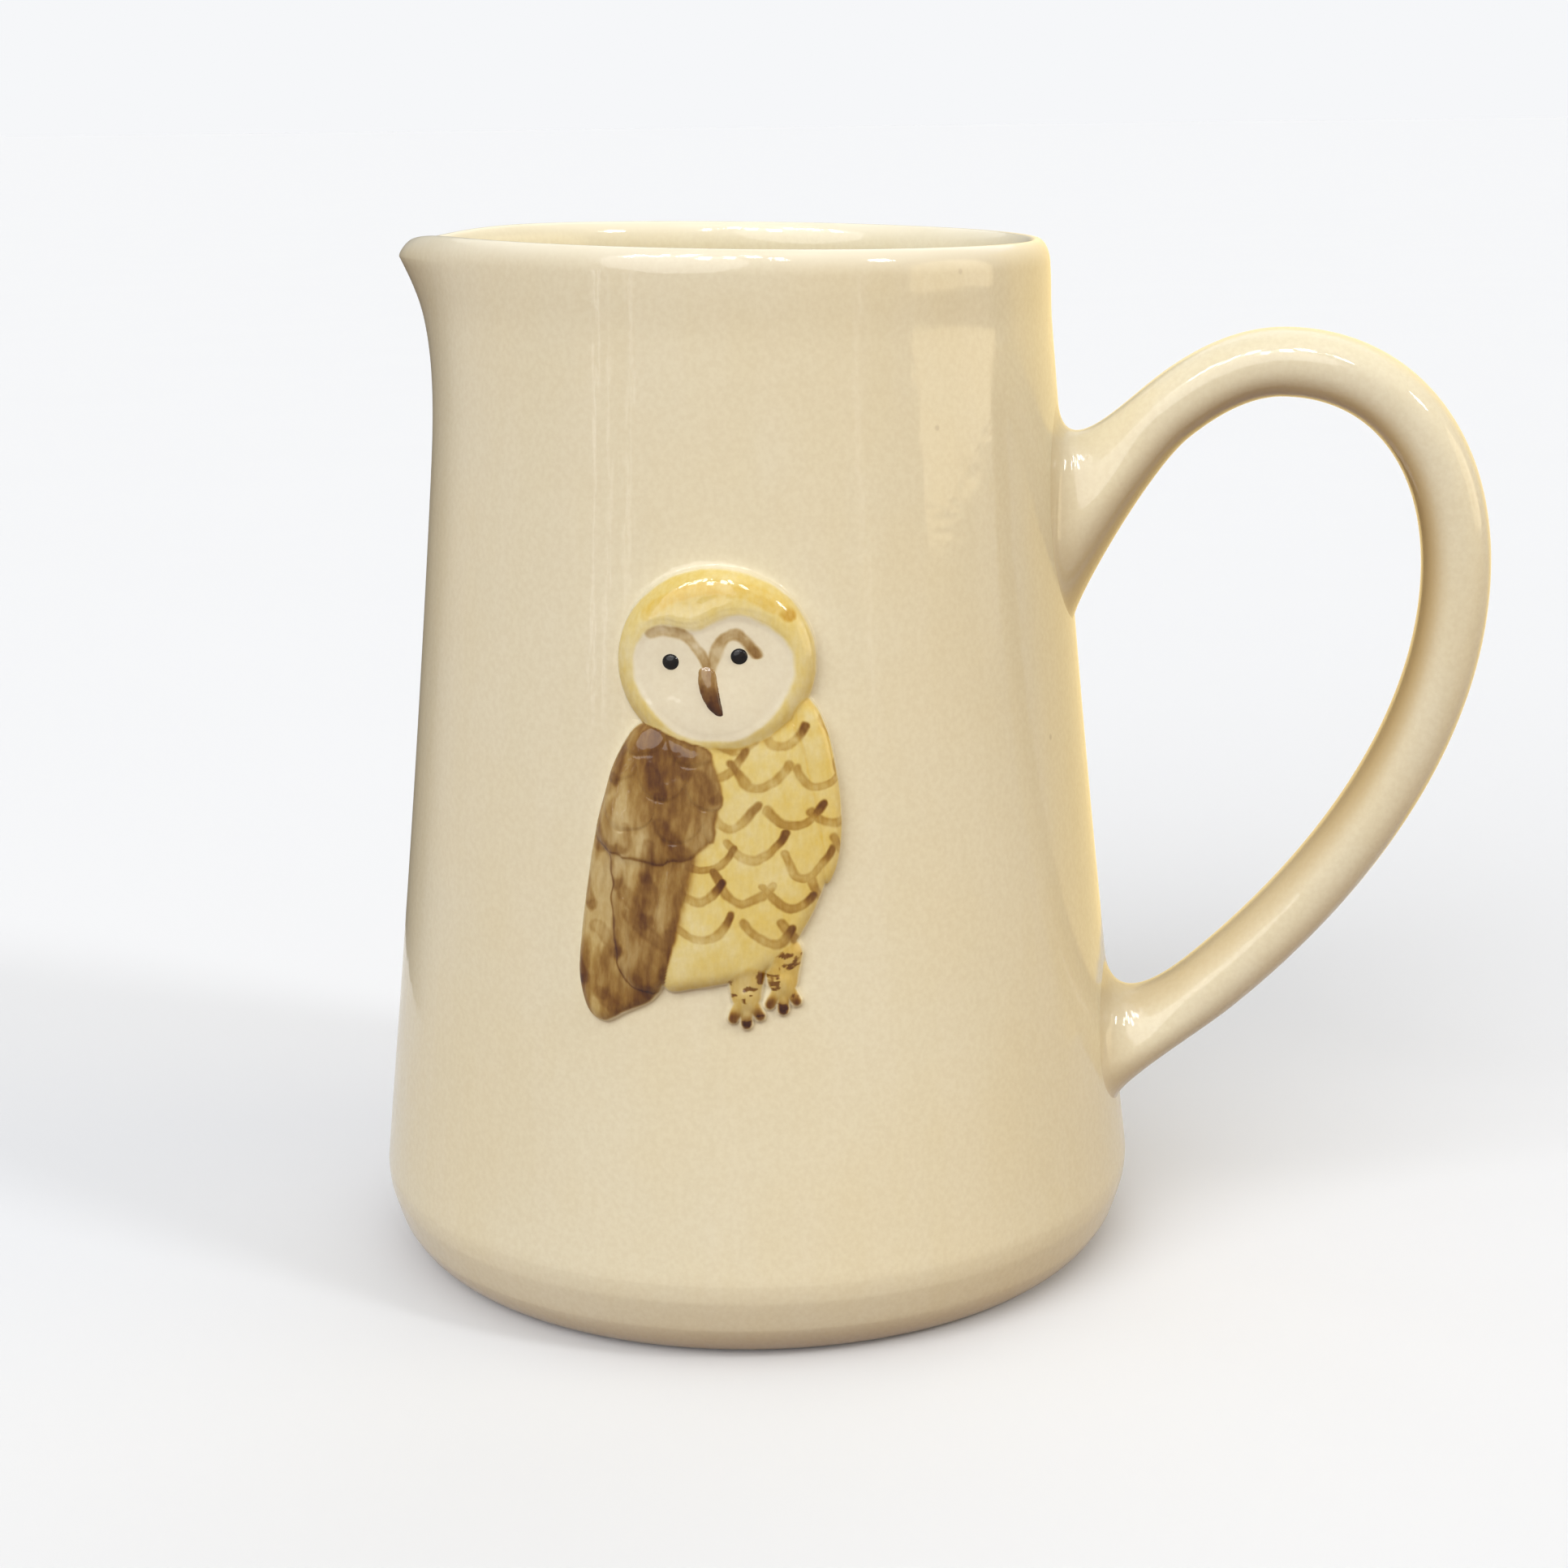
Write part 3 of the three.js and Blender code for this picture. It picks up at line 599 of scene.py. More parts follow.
HEAD_CENTRE_SHARE = (0.009, 0.796)
HEAD_HALF_SHARE = (0.383, 0.203)
FACE_CENTRE_SHARE = (0.005, 0.765)
EYE_HEIGHT_SHARE = 0.805
BEAK_HEIGHT_SHARE = 0.735
LEG_SHARES = {"left_foot": (0.115, 0.1), "right_foot": (0.255, 0.13)}
TOE_SHARES = ((-0.05, -0.075), (0.002, -0.088), (0.052, -0.07))

# Heights of each form over the wall in millimetres, at its rounded edge and at its crown, and the share of
# the common width that its rounded edge takes
FORM_HEIGHTS = {
    "tail": (0.9, 1.6, 1),
    "primaries": (1.3, 2.2, 1),
    "coverts": (1.6, 2.6, 1.2),
    "far_wing": (1.0, 2.1, 1),
    "breast": (1.1, 2.3, 1.3),
    "head": (2.0, 2.9, 2.1),
}

# How high the small feathers, the long feathers, the ruff, the legs and the toes stand out, how far the face
# and the sockets of the eyes are pressed in, how wide the legs and toes are, and how much slimmer they end
TILE_HEIGHT, SLAT_HEIGHT, RUFF_HEIGHT = 0.16 * MM, 0.22 * MM, 0.08 * MM
LEG_HEIGHT, TOE_HEIGHT = 1.7 * MM, 1.3 * MM
FACE_PRESS, SOCKET_PRESS = 0.18 * MM, 0.3 * MM
LEG_RADIUS, TOE_RADIUS = 2.5 * MM, 1.2 * MM
LEG_TAPER, TOE_TAPER = 0.2, 0.3

# Density of the umber on each part of the near wing
WING_DENSITIES = {"coverts": 0.95, "primaries": 0.85, "tail": 0.75}


def smooth_closed(points, steps=7):
    """A smooth closed line through the points, by Catmull-Rom cubics."""
    points = np.asarray(points, dtype=float)
    before, here, after, beyond = (np.roll(points, shift, axis=0)[:, None, :] for shift in (1, 0, -1, -2))
    share = np.linspace(0, 1, steps, endpoint=False)[None, :, None]
    line = 2 * here + (after - before) * share
    line = line + (2 * before - 5 * here + 4 * after - beyond) * share**2
    line = line + (3 * here - before - 3 * after + beyond) * share**3
    return (line / 2).reshape(-1, 2)


def oval_line(middle, half, count=48):
    """An ellipse about a middle."""
    angle = np.linspace(0, 2 * np.pi, count, endpoint=False)
    return np.asarray(middle) + np.stack([half[0] * np.cos(angle), half[1] * np.sin(angle)], axis=1)


def line_distance(x, y, line):
    """Distance of each point from a line of straight pieces, and how far along it the nearest place is."""
    best = np.full(x.shape, np.inf)
    along = np.zeros(x.shape)
    count = len(line) - 1
    for index, (start, end) in enumerate(zip(line[:-1], line[1:])):
        step = end - start
        share = ((x - start[0]) * step[0] + (y - start[1]) * step[1]) / (step @ step)
        share = np.clip(share, 0, 1)
        distance = np.hypot(x - start[0] - share * step[0], y - start[1] - share * step[1])
        along = np.where(distance < best, (index + share) / count, along)
        best = np.minimum(distance, best)
    return best, along


def lattice_noise(x, y, size, seed):
    """Smooth noise from 0 to 1: random values on a square lattice, blended by cubic steps."""
    count = 64
    table = np.random.default_rng(seed).random((count, count))
    column, row = np.floor(x / size), np.floor(y / size)
    across, up = smooth_step(x / size - column, 0, 1), smooth_step(y / size - row, 0, 1)
    column, row = column.astype(int) % count, row.astype(int) % count
    right, above = (column + 1) % count, (row + 1) % count
    low = mix(table[column, row], table[right, row], across)
    high = mix(table[column, above], table[right, above], across)
    return mix(low, high, up)


def mottle(x, y, size, seed):
    """Three layers of lattice noise about 0, each half the size and half the strength of the one before."""
    layers = [lattice_noise(x, y, size / 2**k, seed + k) / 2**k for k in range(3)]
    return sum(layers) / sum(1 / 2**k for k in range(3)) - 0.5


class Form:
    """A raised form: its closed outline, the heights of its rounded edge and its crown, and its rounding"""

    def __init__(self, line, edge=0, crown=0, rounding=1):
        self.line = np.concatenate([line, line[:1]])
        self.middle = line.mean(axis=0)
        self.edge, self.crown, self.rounding = edge, crown, rounding
        offset = line - self.middle
        angle = np.arctan2(offset[:, 1], offset[:, 0])
        order = np.argsort(angle)
        self.angle, self.reach = angle[order], np.hypot(*offset.T)[order]

    def reach_at(self, angle):
        """Distance from the middle to the outline."""
        return np.interp(angle, self.angle, self.reach, period=2 * np.pi)

    def place(self, x, y):
        """Share of the way from the middle to the outline, and distance inside it, negative outside."""
        right, up = x - self.middle[0], y - self.middle[1]
        reach = self.reach_at(np.arctan2(up, right))
        inside = reach - np.hypot(right, up)
        near = np.abs(inside) < 6 * MM
        inside[near] = np.sign(inside[near]) * line_distance(x[near], y[near], self.line)[0]
        return np.hypot(right, up) / reach, inside

    def height(self, x, y):
        """A quarter circle over the rounded edge, plus a flattened dome that is full at the middle.

        The distance inside the outline comes with it.
        """
        steepness_outside = 1.2
        share, inside = self.place(x, y)
        edge = self.edge * np.sqrt(1 - (1 - np.clip(inside / self.rounding, 0, 1)) ** 2)
        dome = (self.crown - self.edge) * np.sqrt(1 - np.clip(share, 0, 1) ** 4)
        return np.where(inside > 0, edge + dome, steepness_outside * inside), inside


def ridge_height(x, y, line, radius, crown, taper_share=0.0):
    """A ridge along a line: half an ellipse across, falling away outside it, and slimmer towards its end.

    The distance inside its sides comes with it.
    """
    distance, along = line_distance(x, y, line)
    radius = radius * (1 - taper_share * along)
    crown = crown * (1 - taper_share * along)
    across, inside = distance / radius, radius - distance
    dome = crown * np.sqrt(1 - np.minimum(across, 1) ** 2)
    return np.where(across < 1, dome, inside), inside


def at_share(owl, share):
    """A place on the owl from its shares of the width and height."""
    return np.array([share[0] * owl.width, share[1] * owl.height])


def eye_middles(owl):
    """The middles of the left and the right eye, which lie a little to the left as the owl looks that way."""
    middle = at_share(owl, (FACE_CENTRE_SHARE[0], EYE_HEIGHT_SHARE)) - (owl.face_turn, 0)
    reach = np.array([owl.eye_spacing / 2, owl.face_tilt])
    return {"left_eye": middle - reach, "right_eye": middle + reach}


def beak_middle(owl):
    """The middle of the beak."""
    return at_share(owl, (FACE_CENTRE_SHARE[0], BEAK_HEIGHT_SHARE)) - (owl.face_turn / 2, 0)


def heart_line(owl, count=96):
    """The face: an ellipse that is wider above its middle, with a notch pressed into its upper edge."""
    narrowing, notch_width, notch_aside = 0.16, 0.3 * owl.face_width / 2, 2.2 * owl.face_turn
    angle = np.linspace(0, 2 * np.pi, count, endpoint=False)
    x = owl.face_width / 2 * np.cos(angle) * (1 + narrowing * np.sin(angle))
    dip = owl.face_notch * np.exp(-(((x + notch_aside) / notch_width) ** 2)) * (np.sin(angle) > 0)
    y = owl.face_height / 2 * np.sin(angle) - dip
    return at_share(owl, FACE_CENTRE_SHARE) + np.stack([x, y], axis=1)


def owl_forms(owl):
    """The raised forms by name."""
    scale = np.array([owl.width, owl.height])
    lines = {name: smooth_closed(np.array(shares) * scale) for name, shares in OUTLINE_SHARES.items()}
    lines["head"] = oval_line(at_share(owl, HEAD_CENTRE_SHARE), at_share(owl, HEAD_HALF_SHARE), 96)
    forms = {}
    for name, line in lines.items():
        edge, crown, rounding = FORM_HEIGHTS[name]
        forms[name] = Form(line, edge * MM, crown * MM, rounding * owl.edge)
    return forms


def owl_leg_lines(owl):
    """The lines of each foot, by name: a leg that comes down to the ball, and three toes that leave it."""
    above, below = 1.8 * MM, 1.2 * MM
    feet = {}
    for name, share in LEG_SHARES.items():
        leg = at_share(owl, share)
        ball = leg - (0, below)
        toes = [np.array([ball, leg + at_share(owl, toe)]) for toe in TOE_SHARES]
        feet[name] = [np.array([leg + (0, above), ball]), *toes]
    return feet


def feather_rows(along, across, spacing, width, depth):
    """Feathers laid like tiles, of which a higher row covers the one below.

    The tips of a row hang below its line in half ellipses, and every second row is shifted by half a feather.
    Gives how far a point lies above the tip of the feather that shows there, and its place across it from -1
    to 1.
    """
    row = np.floor(along / spacing)
    above_tip = np.full(along.shape, -1.0)
    place = np.zeros(along.shape)
    for ahead in (2, 1, 0):
        number = row + ahead
        turn_across = across / width + 0.5 * (number % 2)
        side = 2 * (turn_across - np.round(turn_across))
        height = along - number * spacing + depth * np.sqrt(1 - side**2)
        shows = (above_tip < 0) & (height >= 0)
        above_tip = np.where(shows, height, above_tip)
        place = np.where(shows, side, place)
    return above_tip, place


def covert_feathers(x, y):
    """The small feathers of the wing, in hand-drawn rows square to a line that leans with the wing."""
    lean, stray, drift = np.radians(12), 2.2 * MM, 7 * MM
    spacing, width, tip_depth, aside = 4.7 * MM, 5.6 * MM, 3.3 * MM, 0.6 * MM
    x, y = x + stray * mottle(x, y, drift, 81), y + stray * mottle(x, y, drift, 91)
    along = y * np.cos(lean) + x * np.sin(lean)
    across = x * np.cos(lean) - y * np.sin(lean)
    return feather_rows(along, across + aside, spacing, width, tip_depth)


def fan(x, y, centre, start, step):
    """Long feathers that spread up from a centre, each a step wide in degrees from the start.

    Gives the place across a feather from 0 to 1, the feather's number, and the distance from the centre.
    """
    right, up = x - centre[0], y - centre[1]
    place = (np.degrees(np.arctan2(right, up)) - start) / step
    number = np.floor(place)
    return place - number, number, np.hypot(right, up)


def long_feathers(owl, x, y):
    """The long feathers of the folded wing, which gather at its tip."""
    return fan(x, y, at_share(owl, (-0.32, -0.12)), start=-24, step=11)


def tail_feathers(owl, x, y):
    """The feathers of the tail, which spread down from under the wing."""
    return fan(-x, -y, at_share(owl, (0.22, -0.8)), start=6, step=7)


def owl_relief(owl, x, y):
    """Height of the owl over the wall, and how much of what shows at a point belongs to each form.

    The forms and the wall are joined softly: the height is the softness times the logarithm of the sum of the
    exponentials of all heights over the softness. A form's part is its own term's share of the same sum with
    the softness of the painted edges. The distances inside the owl's outline and inside the face come with
    them.
    """
    softness, tile_edge, tile_end = owl.softness, 0.7 * MM, 5 * MM
    heights, insides = {}, {}
    for name, form in owl_forms(owl).items():
        heights[name], insides[name] = form.height(x, y)
    above_tip, side = covert_feathers(x, y)
    tile = smooth_step(above_tip, 0, tile_edge) * (1 - smooth_step(above_tip, tile_edge, tile_end))
    inner = smooth_step(heights["coverts"], 0.8 * MM, 2 * MM)
    heights["coverts"] = heights["coverts"] + TILE_HEIGHT * inner * (tile * (1 - 0.4 * side**2) - 0.5)
    for name, feathers in (("primaries", long_feathers), ("tail", tail_feathers)):
        place = feathers(owl, x, y)[0]
        slat = smooth_step(place, 0, 0.25) * (1 - 0.8 * place)
        inner = smooth_step(heights[name], 0.4 * MM, 1.4 * MM)
        heights[name] = heights[name] + SLAT_HEIGHT * inner * (slat - 0.5)

    face_share, face_inside = Form(heart_line(owl)).place(x, y)
    sockets = sum(
        np.exp(-(((x - eye[0]) / (3.2 * MM)) ** 2) - ((y - eye[1] + MM) / (4 * MM)) ** 2)
        for eye in eye_middles(owl).values()
    )
    press = FACE_PRESS * smooth_step(face_inside, -0.3 * MM, 0.9 * MM) + SOCKET_PRESS * sockets
    ruff = RUFF_HEIGHT * np.exp(-(((face_inside + MM) / (0.9 * MM)) ** 2))
    heights["head"] = heights["head"] + np.where(heights["head"] > MM, ruff - press * (face_share < 1.1), 0)

    for name, lines in owl_leg_lines(owl).items():
        ridges = [ridge_height(x, y, lines[0], LEG_RADIUS, LEG_HEIGHT, LEG_TAPER)]
        ridges += [ridge_height(x, y, line, TOE_RADIUS, TOE_HEIGHT, TOE_TAPER) for line in lines[1:]]
        heights[name] = softness * np.logaddexp.reduce([height / softness for height, _ in ridges])
        insides[name] = np.maximum.reduce([inside for _, inside in ridges])

    joined = softness * np.log(1 + sum(np.exp(height / softness) for height in heights.values()))
    terms = {name: np.exp(height / owl.paint_edge) for name, height in heights.items()}
    total = 1 + sum(terms.values())
    parts = {name: term / total for name, term in terms.items()}
    return joined, heights, parts, np.maximum.reduce(list(insides.values())), face_inside


# The stains


def brush(x, y, start, bend, end, width):
    """A brush stroke along a quadratic curve: its body, stronger along its sides, and the drop at its end."""
    share = np.linspace(0, 1, 12)[:, None]
    start, bend, end = (np.asarray(point) for point in (start, bend, end))
    line = (1 - share) ** 2 * start + 2 * (1 - share) * share * bend + share**2 * end
    low, high = line.min(axis=0) - width, line.max(axis=0) + width
    near = (x > low[0]) & (x < high[0]) & (y > low[1]) & (y < high[1])
    distance, along = line_distance(x[near], y[near], line)
    edge = 2 * distance / width
    body = np.zeros(x.shape)
    drop = np.zeros(x.shape)
    body[near] = (1 - smooth_step(edge, 0.6, 1.3)) * mix(0.8, 1.1, smooth_step(edge, 0.3, 0.9))
    drop[near] = (1 - smooth_step(edge, 0.5, 1.2)) * smooth_step(along, 0.78, 0.97)
    return body, drop


def painted(x, y, strokes, width):
    """Bodies and drops of several strokes, each (start, bend, end, strength). The strongest shows."""
    bodies, drops = np.zeros(x.shape), np.zeros(x.shape)
    for start, bend, end, strength in strokes:
        body, drop = brush(x, y, start, bend, end, width)
        bodies = np.maximum(bodies, body)
        drops = np.maximum(drops, strength * drop)
    return bodies, drops


def breast_strokes():
    """Wide crescents that hang in loose rows down the breast, each with a drop at one end."""
    random = np.random.default_rng(23)
    rows, columns, spacing, row_height = 6, 5, 5.7 * MM, 4.6 * MM
    left, highest, half_width, sag = -3 * MM, 35.5 * MM, 2.8 * MM, 5 * MM
    for row in range(rows):
        for column in range(columns):
            jitter = random.uniform(-1, 1, 6)
            x = spacing * (column + 0.5 * (row % 2)) + left + 0.9 * MM * jitter[0]
            middle = np.array([x, highest - row_height * row + 1.1 * MM * jitter[1]])
            reach = (half_width + 0.6 * MM * jitter[2], 0.9 * MM * jitter[3])
            ends = [middle - reach, middle + reach]
            if jitter[5] < -0.6:
                ends.reverse()
            bend = middle - (0.8 * MM * jitter[4], sag + MM * jitter[4])
            yield ends[0], bend, ends[1], 0.65 + 0.35 * jitter[5]


def wing_strokes():
    """Short dark dabs down the wing and the tail, at the tips of its feathers."""
    random = np.random.default_rng(31)
    rows, columns, spacing, row_height = 8, 3, 4.8 * MM, 4.2 * MM
    left, highest, slant, dab = -14 * MM, 33 * MM, 0.3 * MM, 3.8 * MM
    for row in range(rows):
        for column in range(columns):
            jitter = random.uniform(-1, 1, 6)
            x = spacing * (column + 0.5 * (row % 2)) + left - slant * row + 1.4 * MM * jitter[0]
            top = np.array([x, highest - row_height * row + 1.3 * MM * jitter[1]])
            lean = np.radians(35 * jitter[2] - 20)
            run = (dab + 1.4 * MM * jitter[3]) * np.array([-np.sin(lean), -np.cos(lean)])
            bend = top + run / 2 + (0.6 * MM * jitter[4], 0)
            yield top, bend, top + run, 0.5 + 0.5 * jitter[5]


def crown_strokes(owl):
    """A long stroke along the crown of the head, and a short one at its right."""
    centre, half = at_share(owl, HEAD_CENTRE_SHARE), at_share(owl, HEAD_HALF_SHARE)
    for first, last, out, strength in ((142, 46, 0.8, 0.2), (66, 36, 0.86, 1.0)):
        angle = np.radians([first, (first + last) / 2, last])
        arc = centre + out * half * np.stack([np.cos(angle), np.sin(angle)], axis=1)
        yield arc[0], 2 * arc[1] - (arc[0] + arc[2]) / 2, arc[2], strength


def brow_strokes(owl):
    """Two arched strokes over the eyes, which meet above the beak."""
    root = beak_middle(owl) + (0, owl.beak_length / 2)
    yield root + (-6 * MM, 3.9 * MM), root + (-1.8 * MM, 5.6 * MM), root + (-0.2 * MM, 0.6 * MM), 0.2
    yield root + (0.1 * MM, -0.5 * MM), root + (1.9 * MM, 7 * MM), root + (5 * MM, 1.9 * MM), 0.8


def breast_wash(owl, x, y, cloud, fine):
    """Straw all over the breast, gold under the head and to the right, and umber crescents."""
    crescents, drops = painted(x, y, breast_strokes(), MM)
    right_side = smooth_step(x / owl.width, 0.25, 0.46)
    collar = smooth_step(y / owl.height, 0.57, 0.68)
    straw = 1.0 + 1.1 * cloud + 0.5 * fine
    gold = 0.12 * right_side + collar * (0.3 + 1.2 * cloud)
    return straw, gold, 0.38 * crescents * (1 + 2 * cloud + fine) + 1.25 * drops


def wing_wash(owl, x, y, weight):
    """Umber in long uneven brush marks, darkest at the inner side and at the wing's tip, with longer dabs."""
    lean = np.radians(10)
    along, across = y * np.cos(lean) + x * np.sin(lean), x * np.cos(lean) - y * np.sin(lean)
    broad = mottle(across, along / 2.4, 4.2 * MM, 41)
    marks = mottle(across, along / 7, 1.3 * MM, 47)
    dabs, drops = painted(x, y, wing_strokes(), 1.8 * MM)
    inner = np.exp(-(((x + MM) / (4.5 * MM)) ** 2) - ((y - 28 * MM) / (8 * MM)) ** 2)
    lower = np.exp(-(((x + 8 * MM) / (3.4 * MM)) ** 2) - ((y - 11 * MM) / (6.5 * MM)) ** 2)
    outer = 1 - smooth_step(across, -15 * MM, -9 * MM)
    shade = 0.42 * inner + 0.4 * lower - 0.25 * outer
    umber = weight + shade + 1.9 * broad + 1.2 * marks + 0.3 * dabs + 0.45 * drops
    return 0.45 + broad, 0.0 * x, np.maximum(umber, 0.35)


def head_wash(owl, x, y, cloud, fine, face_inside):
    """Straw on the ruff, gold strokes on the crown, thin umber brows, and a face that is left bare."""
    face = smooth_step(face_inside, -0.15 * MM, 0.4 * MM)
    crown, crown_drops = painted(x, y, crown_strokes(owl), 1.5 * MM)
    brows, brow_drops = painted(x, y, brow_strokes(owl), 1.25 * MM)
    right_side = smooth_step(x / owl.width, 0.05, 0.37)
    top = smooth_step(y / owl.height, 0.86, 0.97)
    straw = (1 - face) * (0.8 + 1.2 * cloud + 0.4 * fine)
    gold = (1 - face) * (0.05 * right_side + 0.05 * top + 0.28 * crown * (1 + cloud) + 0.5 * crown_drops)
    umber = face * (0.5 * brows * (1 + 1.5 * fine) + 0.6 * brow_drops) + (1 - face) * 0.2 * crown_drops
    return straw, gold, umber


def feet_wash(owl, x, y, cloud, fine):
    """Gold legs with umber claws and short flecks."""
    claw_reach = 0.8 * MM
    claws = np.zeros(x.shape)
    for lines in owl_leg_lines(owl).values():
        for _, tip in lines[1:]:
            claws = np.maximum(claws, np.exp(-((np.hypot(x - tip[0], y - tip[1]) / claw_reach) ** 2)))
    flecks = smooth_step(mottle(x, 1.6 * y, 1.3 * MM, 53), 0.03, 0.13)
    return 0.9 + cloud, 0.25 + 1.2 * cloud, 0.15 + 1.4 * claws + 1.2 * flecks


def owl_stain(context, x, y):
    """What the stains let through of the light from the clay, in red, green and blue.

    Each stain takes away a share of each colour to the power of its density, as thin washes do. Where two
    forms meet, the wash pools in the crease. The washes stop a little inside the outline.
    """
    owl, colours = context.scene.owl_sizes, context.scene.glaze_colours
    stray, margin, fade = 0.9 * MM, 0.3 * MM, 0.35 * MM
    umber_in_crease, gold_in_crease = 0.8, 0.25
    inside = owl_relief(owl, x, y)[3]
    x, y = x + stray * mottle(x, y, 3 * MM, 3), y + stray * mottle(x, y, 3 * MM, 7)
    _, _, parts, _, face_inside = owl_relief(owl, x, y)
    cloud, fine = mottle(x, y, 3.6 * MM, 21), mottle(x, y, 1.1 * MM, 31)
    breast, foot = breast_wash(owl, x, y, cloud, fine), feet_wash(owl, x, y, cloud, fine)
    washes = {
        "breast": breast,
        "far_wing": breast,
        **{name: wing_wash(owl, x, y, density) for name, density in WING_DENSITIES.items()},
        "head": head_wash(owl, x, y, cloud, fine, face_inside),
        "left_foot": foot,
        "right_foot": foot,
    }
    crease = {name: 4 * part * (1 - part) for name, part in parts.items()}
    straw, gold, umber = (sum(parts[name] * wash[k] for name, wash in washes.items()) for k in range(3))
    umber = umber + umber_in_crease * sum(parts[name] * crease[name] for name in WING_DENSITIES)
    gold = gold + gold_in_crease * sum(parts[name] * crease[name] for name in ("breast", "far_wing", "head"))
    covered = smooth_step(inside - margin * (0.5 + mottle(x, y, 2.5 * MM, 71)), 0, fade)
    through = np.ones((*x.shape, 3))
    ground = np.array(colours.cream)
    for density, stain in ((straw, colours.straw), (gold, colours.gold), (umber, colours.umber)):
        share = np.minimum(np.array(stain) / ground, 1)
        through = through * share ** (covered * np.maximum(density, 0))[..., None]
    return through


def beak_stain(context, x, y):
    """The beak's brown wash, which gathers at its point."""
    owl, colours = context.scene.owl_sizes, context.scene.glaze_colours
    point = smooth_step(beak_middle(owl)[1] - y, -owl.beak_length / 2, owl.beak_length / 2)
    density = 0.8 + 1.5 * point + 1.2 * mottle(x, y, 1.2 * MM, 61)
    return np.minimum(np.array(colours.umber) / np.array(colours.cream), 1) ** density[..., None]


def owl_point(context, x, y, proud):
    """Points over the owl's place on the wall: x runs round the wall, y up it."""
    vessel, owl = context.scene.vessel_sizes, context.scene.owl_sizes
    z = owl.foot + y
    return on_wall(vessel, owl.meridian + x / taper(vessel, z), z, proud)


def put_patch(context, name, form, proud, margin, depth, slip, stain=owl_stain):
    """One piece of the owl: a patch over a form and a margin round it, closed through the clay behind it.

    proud gives the height of the surface over the wall for arrays of places. The first ring lies in the clay,
    straight behind the edge of the patch, and the others run from its edge to its middle.
    """
    fewest_rings, fewest_spokes, stretch = 10, 40, 1.3
    fineness = context.scene.pottery_detail.fineness
    widest = form.reach.max() + margin
    rings = max(fewest_rings, int(widest / fineness))
    spokes = max(fewest_spokes, int(2 * np.pi * widest / (stretch * fineness)))
    angle = np.linspace(0, 2 * np.pi, spokes, endpoint=False)[None, :]
    share = np.linspace(1, 0.5 / rings, rings)[:, None]
    reach = share * (form.reach_at(angle) + margin)
    x = form.middle[0] + reach * np.cos(angle)
    y = form.middle[1] + reach * np.sin(angle)
    x, y = np.concatenate([x[:1], x]), np.concatenate([y[:1], y])
    height = proud(x, y)
    height[0] = -depth
    points = owl_point(context, x, y, height)
    middle_x, middle_y = (np.array([[value]]) for value in form.middle)
    last = owl_point(context, middle_x, middle_y, proud(middle_x, middle_y))[0, 0]
    first = owl_point(context, middle_x, middle_y, -depth)[0, 0]
    attributes = {"stain": stain(context, x, y), "slip": np.full(x.shape, slip)}
    return put_rings(name, points, first, last, attributes)


def form_surface(owl, name, inside_face=None):
    """Height of one form's patch: the shared relief, sunk where another form or the wall shows instead.

    The sinking starts where the other form overtakes this one, so that the pieces meet in the crease between
    them. inside_face tells the head, which makes room for the face, from the face itself.
    """
    sink_depth, sink_run, edge_depth = 0.2 * MM, 0.8 * MM, 0.016 * MM

    def proud(x, y):
        height, heights, _, _, face_inside = owl_relief(owl, x, y)
        own = heights[name]
        others = np.maximum.reduce([value for key, value in heights.items() if key != name])
        sink = sink_depth * smooth_step(others - own, 0, sink_run)
        if inside_face is not None:
            beyond = -face_inside if inside_face else face_inside
            sink = sink + sink_depth * smooth_step(beyond, 0, sink_run)
        return height - sink - edge_depth * smooth_step(-own, 0.4 * MM, 2.2 * MM)

    return proud


def make_form(context, name, slot, node):
    """One of the raised forms as a piece of its own."""
    owl = context.scene.owl_sizes
    form = owl_forms(owl)[name]
    surface = form_surface(owl, name, inside_face=False if name == "head" else None)
    piece = put_patch(context, "painted_" + name, form, surface, margin=2 * MM, depth=2 * MM, slip=0.0)
    return finish_piece(piece, slot, painted_glaze(context), node)


def make_breast(context):
    """Breast and tail."""
    make_form(context, "breast", "straw", "owl_breast")
    return make_form(context, "tail", "umber", "owl_tail")


def make_wings(context):
    """The small and the long feathers of the near wing, and the edge of the far wing."""
    make_form(context, "coverts", "umber", "owl_wing_coverts")
    make_form(context, "primaries", "umber", "owl_wing_primaries")
    return make_form(context, "far_wing", "gold", "owl_far_wing")


def make_head(context):
    """The head with its ruff, and the heart-shaped face set into it."""
    owl = context.scene.owl_sizes
    make_form(context, "head", "gold", "owl_head_ruff")
    form, surface = Form(heart_line(owl)), form_surface(owl, "head", inside_face=True)
    piece = put_patch(context, "painted_face", form, surface, margin=1.2 * MM, depth=1.5 * MM, slip=0.15)
    return finish_piece(piece, "white", painted_glaze(context), "owl_face_disc")


def bead_surface(owl, form, crown):
    """A bead on the relief: a half ellipsoid over its outline, which dips under the surface round it."""
    def proud(x, y):
        height = owl_relief(owl, x, y)[0]
        share = form.place(x, y)[0]
        bead = crown * np.sqrt(1 - np.clip(share, 0, 1) ** 2)
        return height + np.where(share < 1, bead, -0.5 * MM * (share - 1))

    return proud


def make_eyes(context):
    """Two glossy black beads."""
    owl = context.scene.owl_sizes
    for name, middle in eye_middles(owl).items():
        form = Form(oval_line(middle, (owl.eye / 2, owl.eye / 2)))
        surface = bead_surface(owl, form, crown=0.4 * MM)
        piece = put_patch(context, "glazed_" + name, form, surface, margin=0.25 * MM, depth=MM, slip=0.0)
        finish_piece(piece, "black", black_glaze(context), "owl_" + name)
    return piece


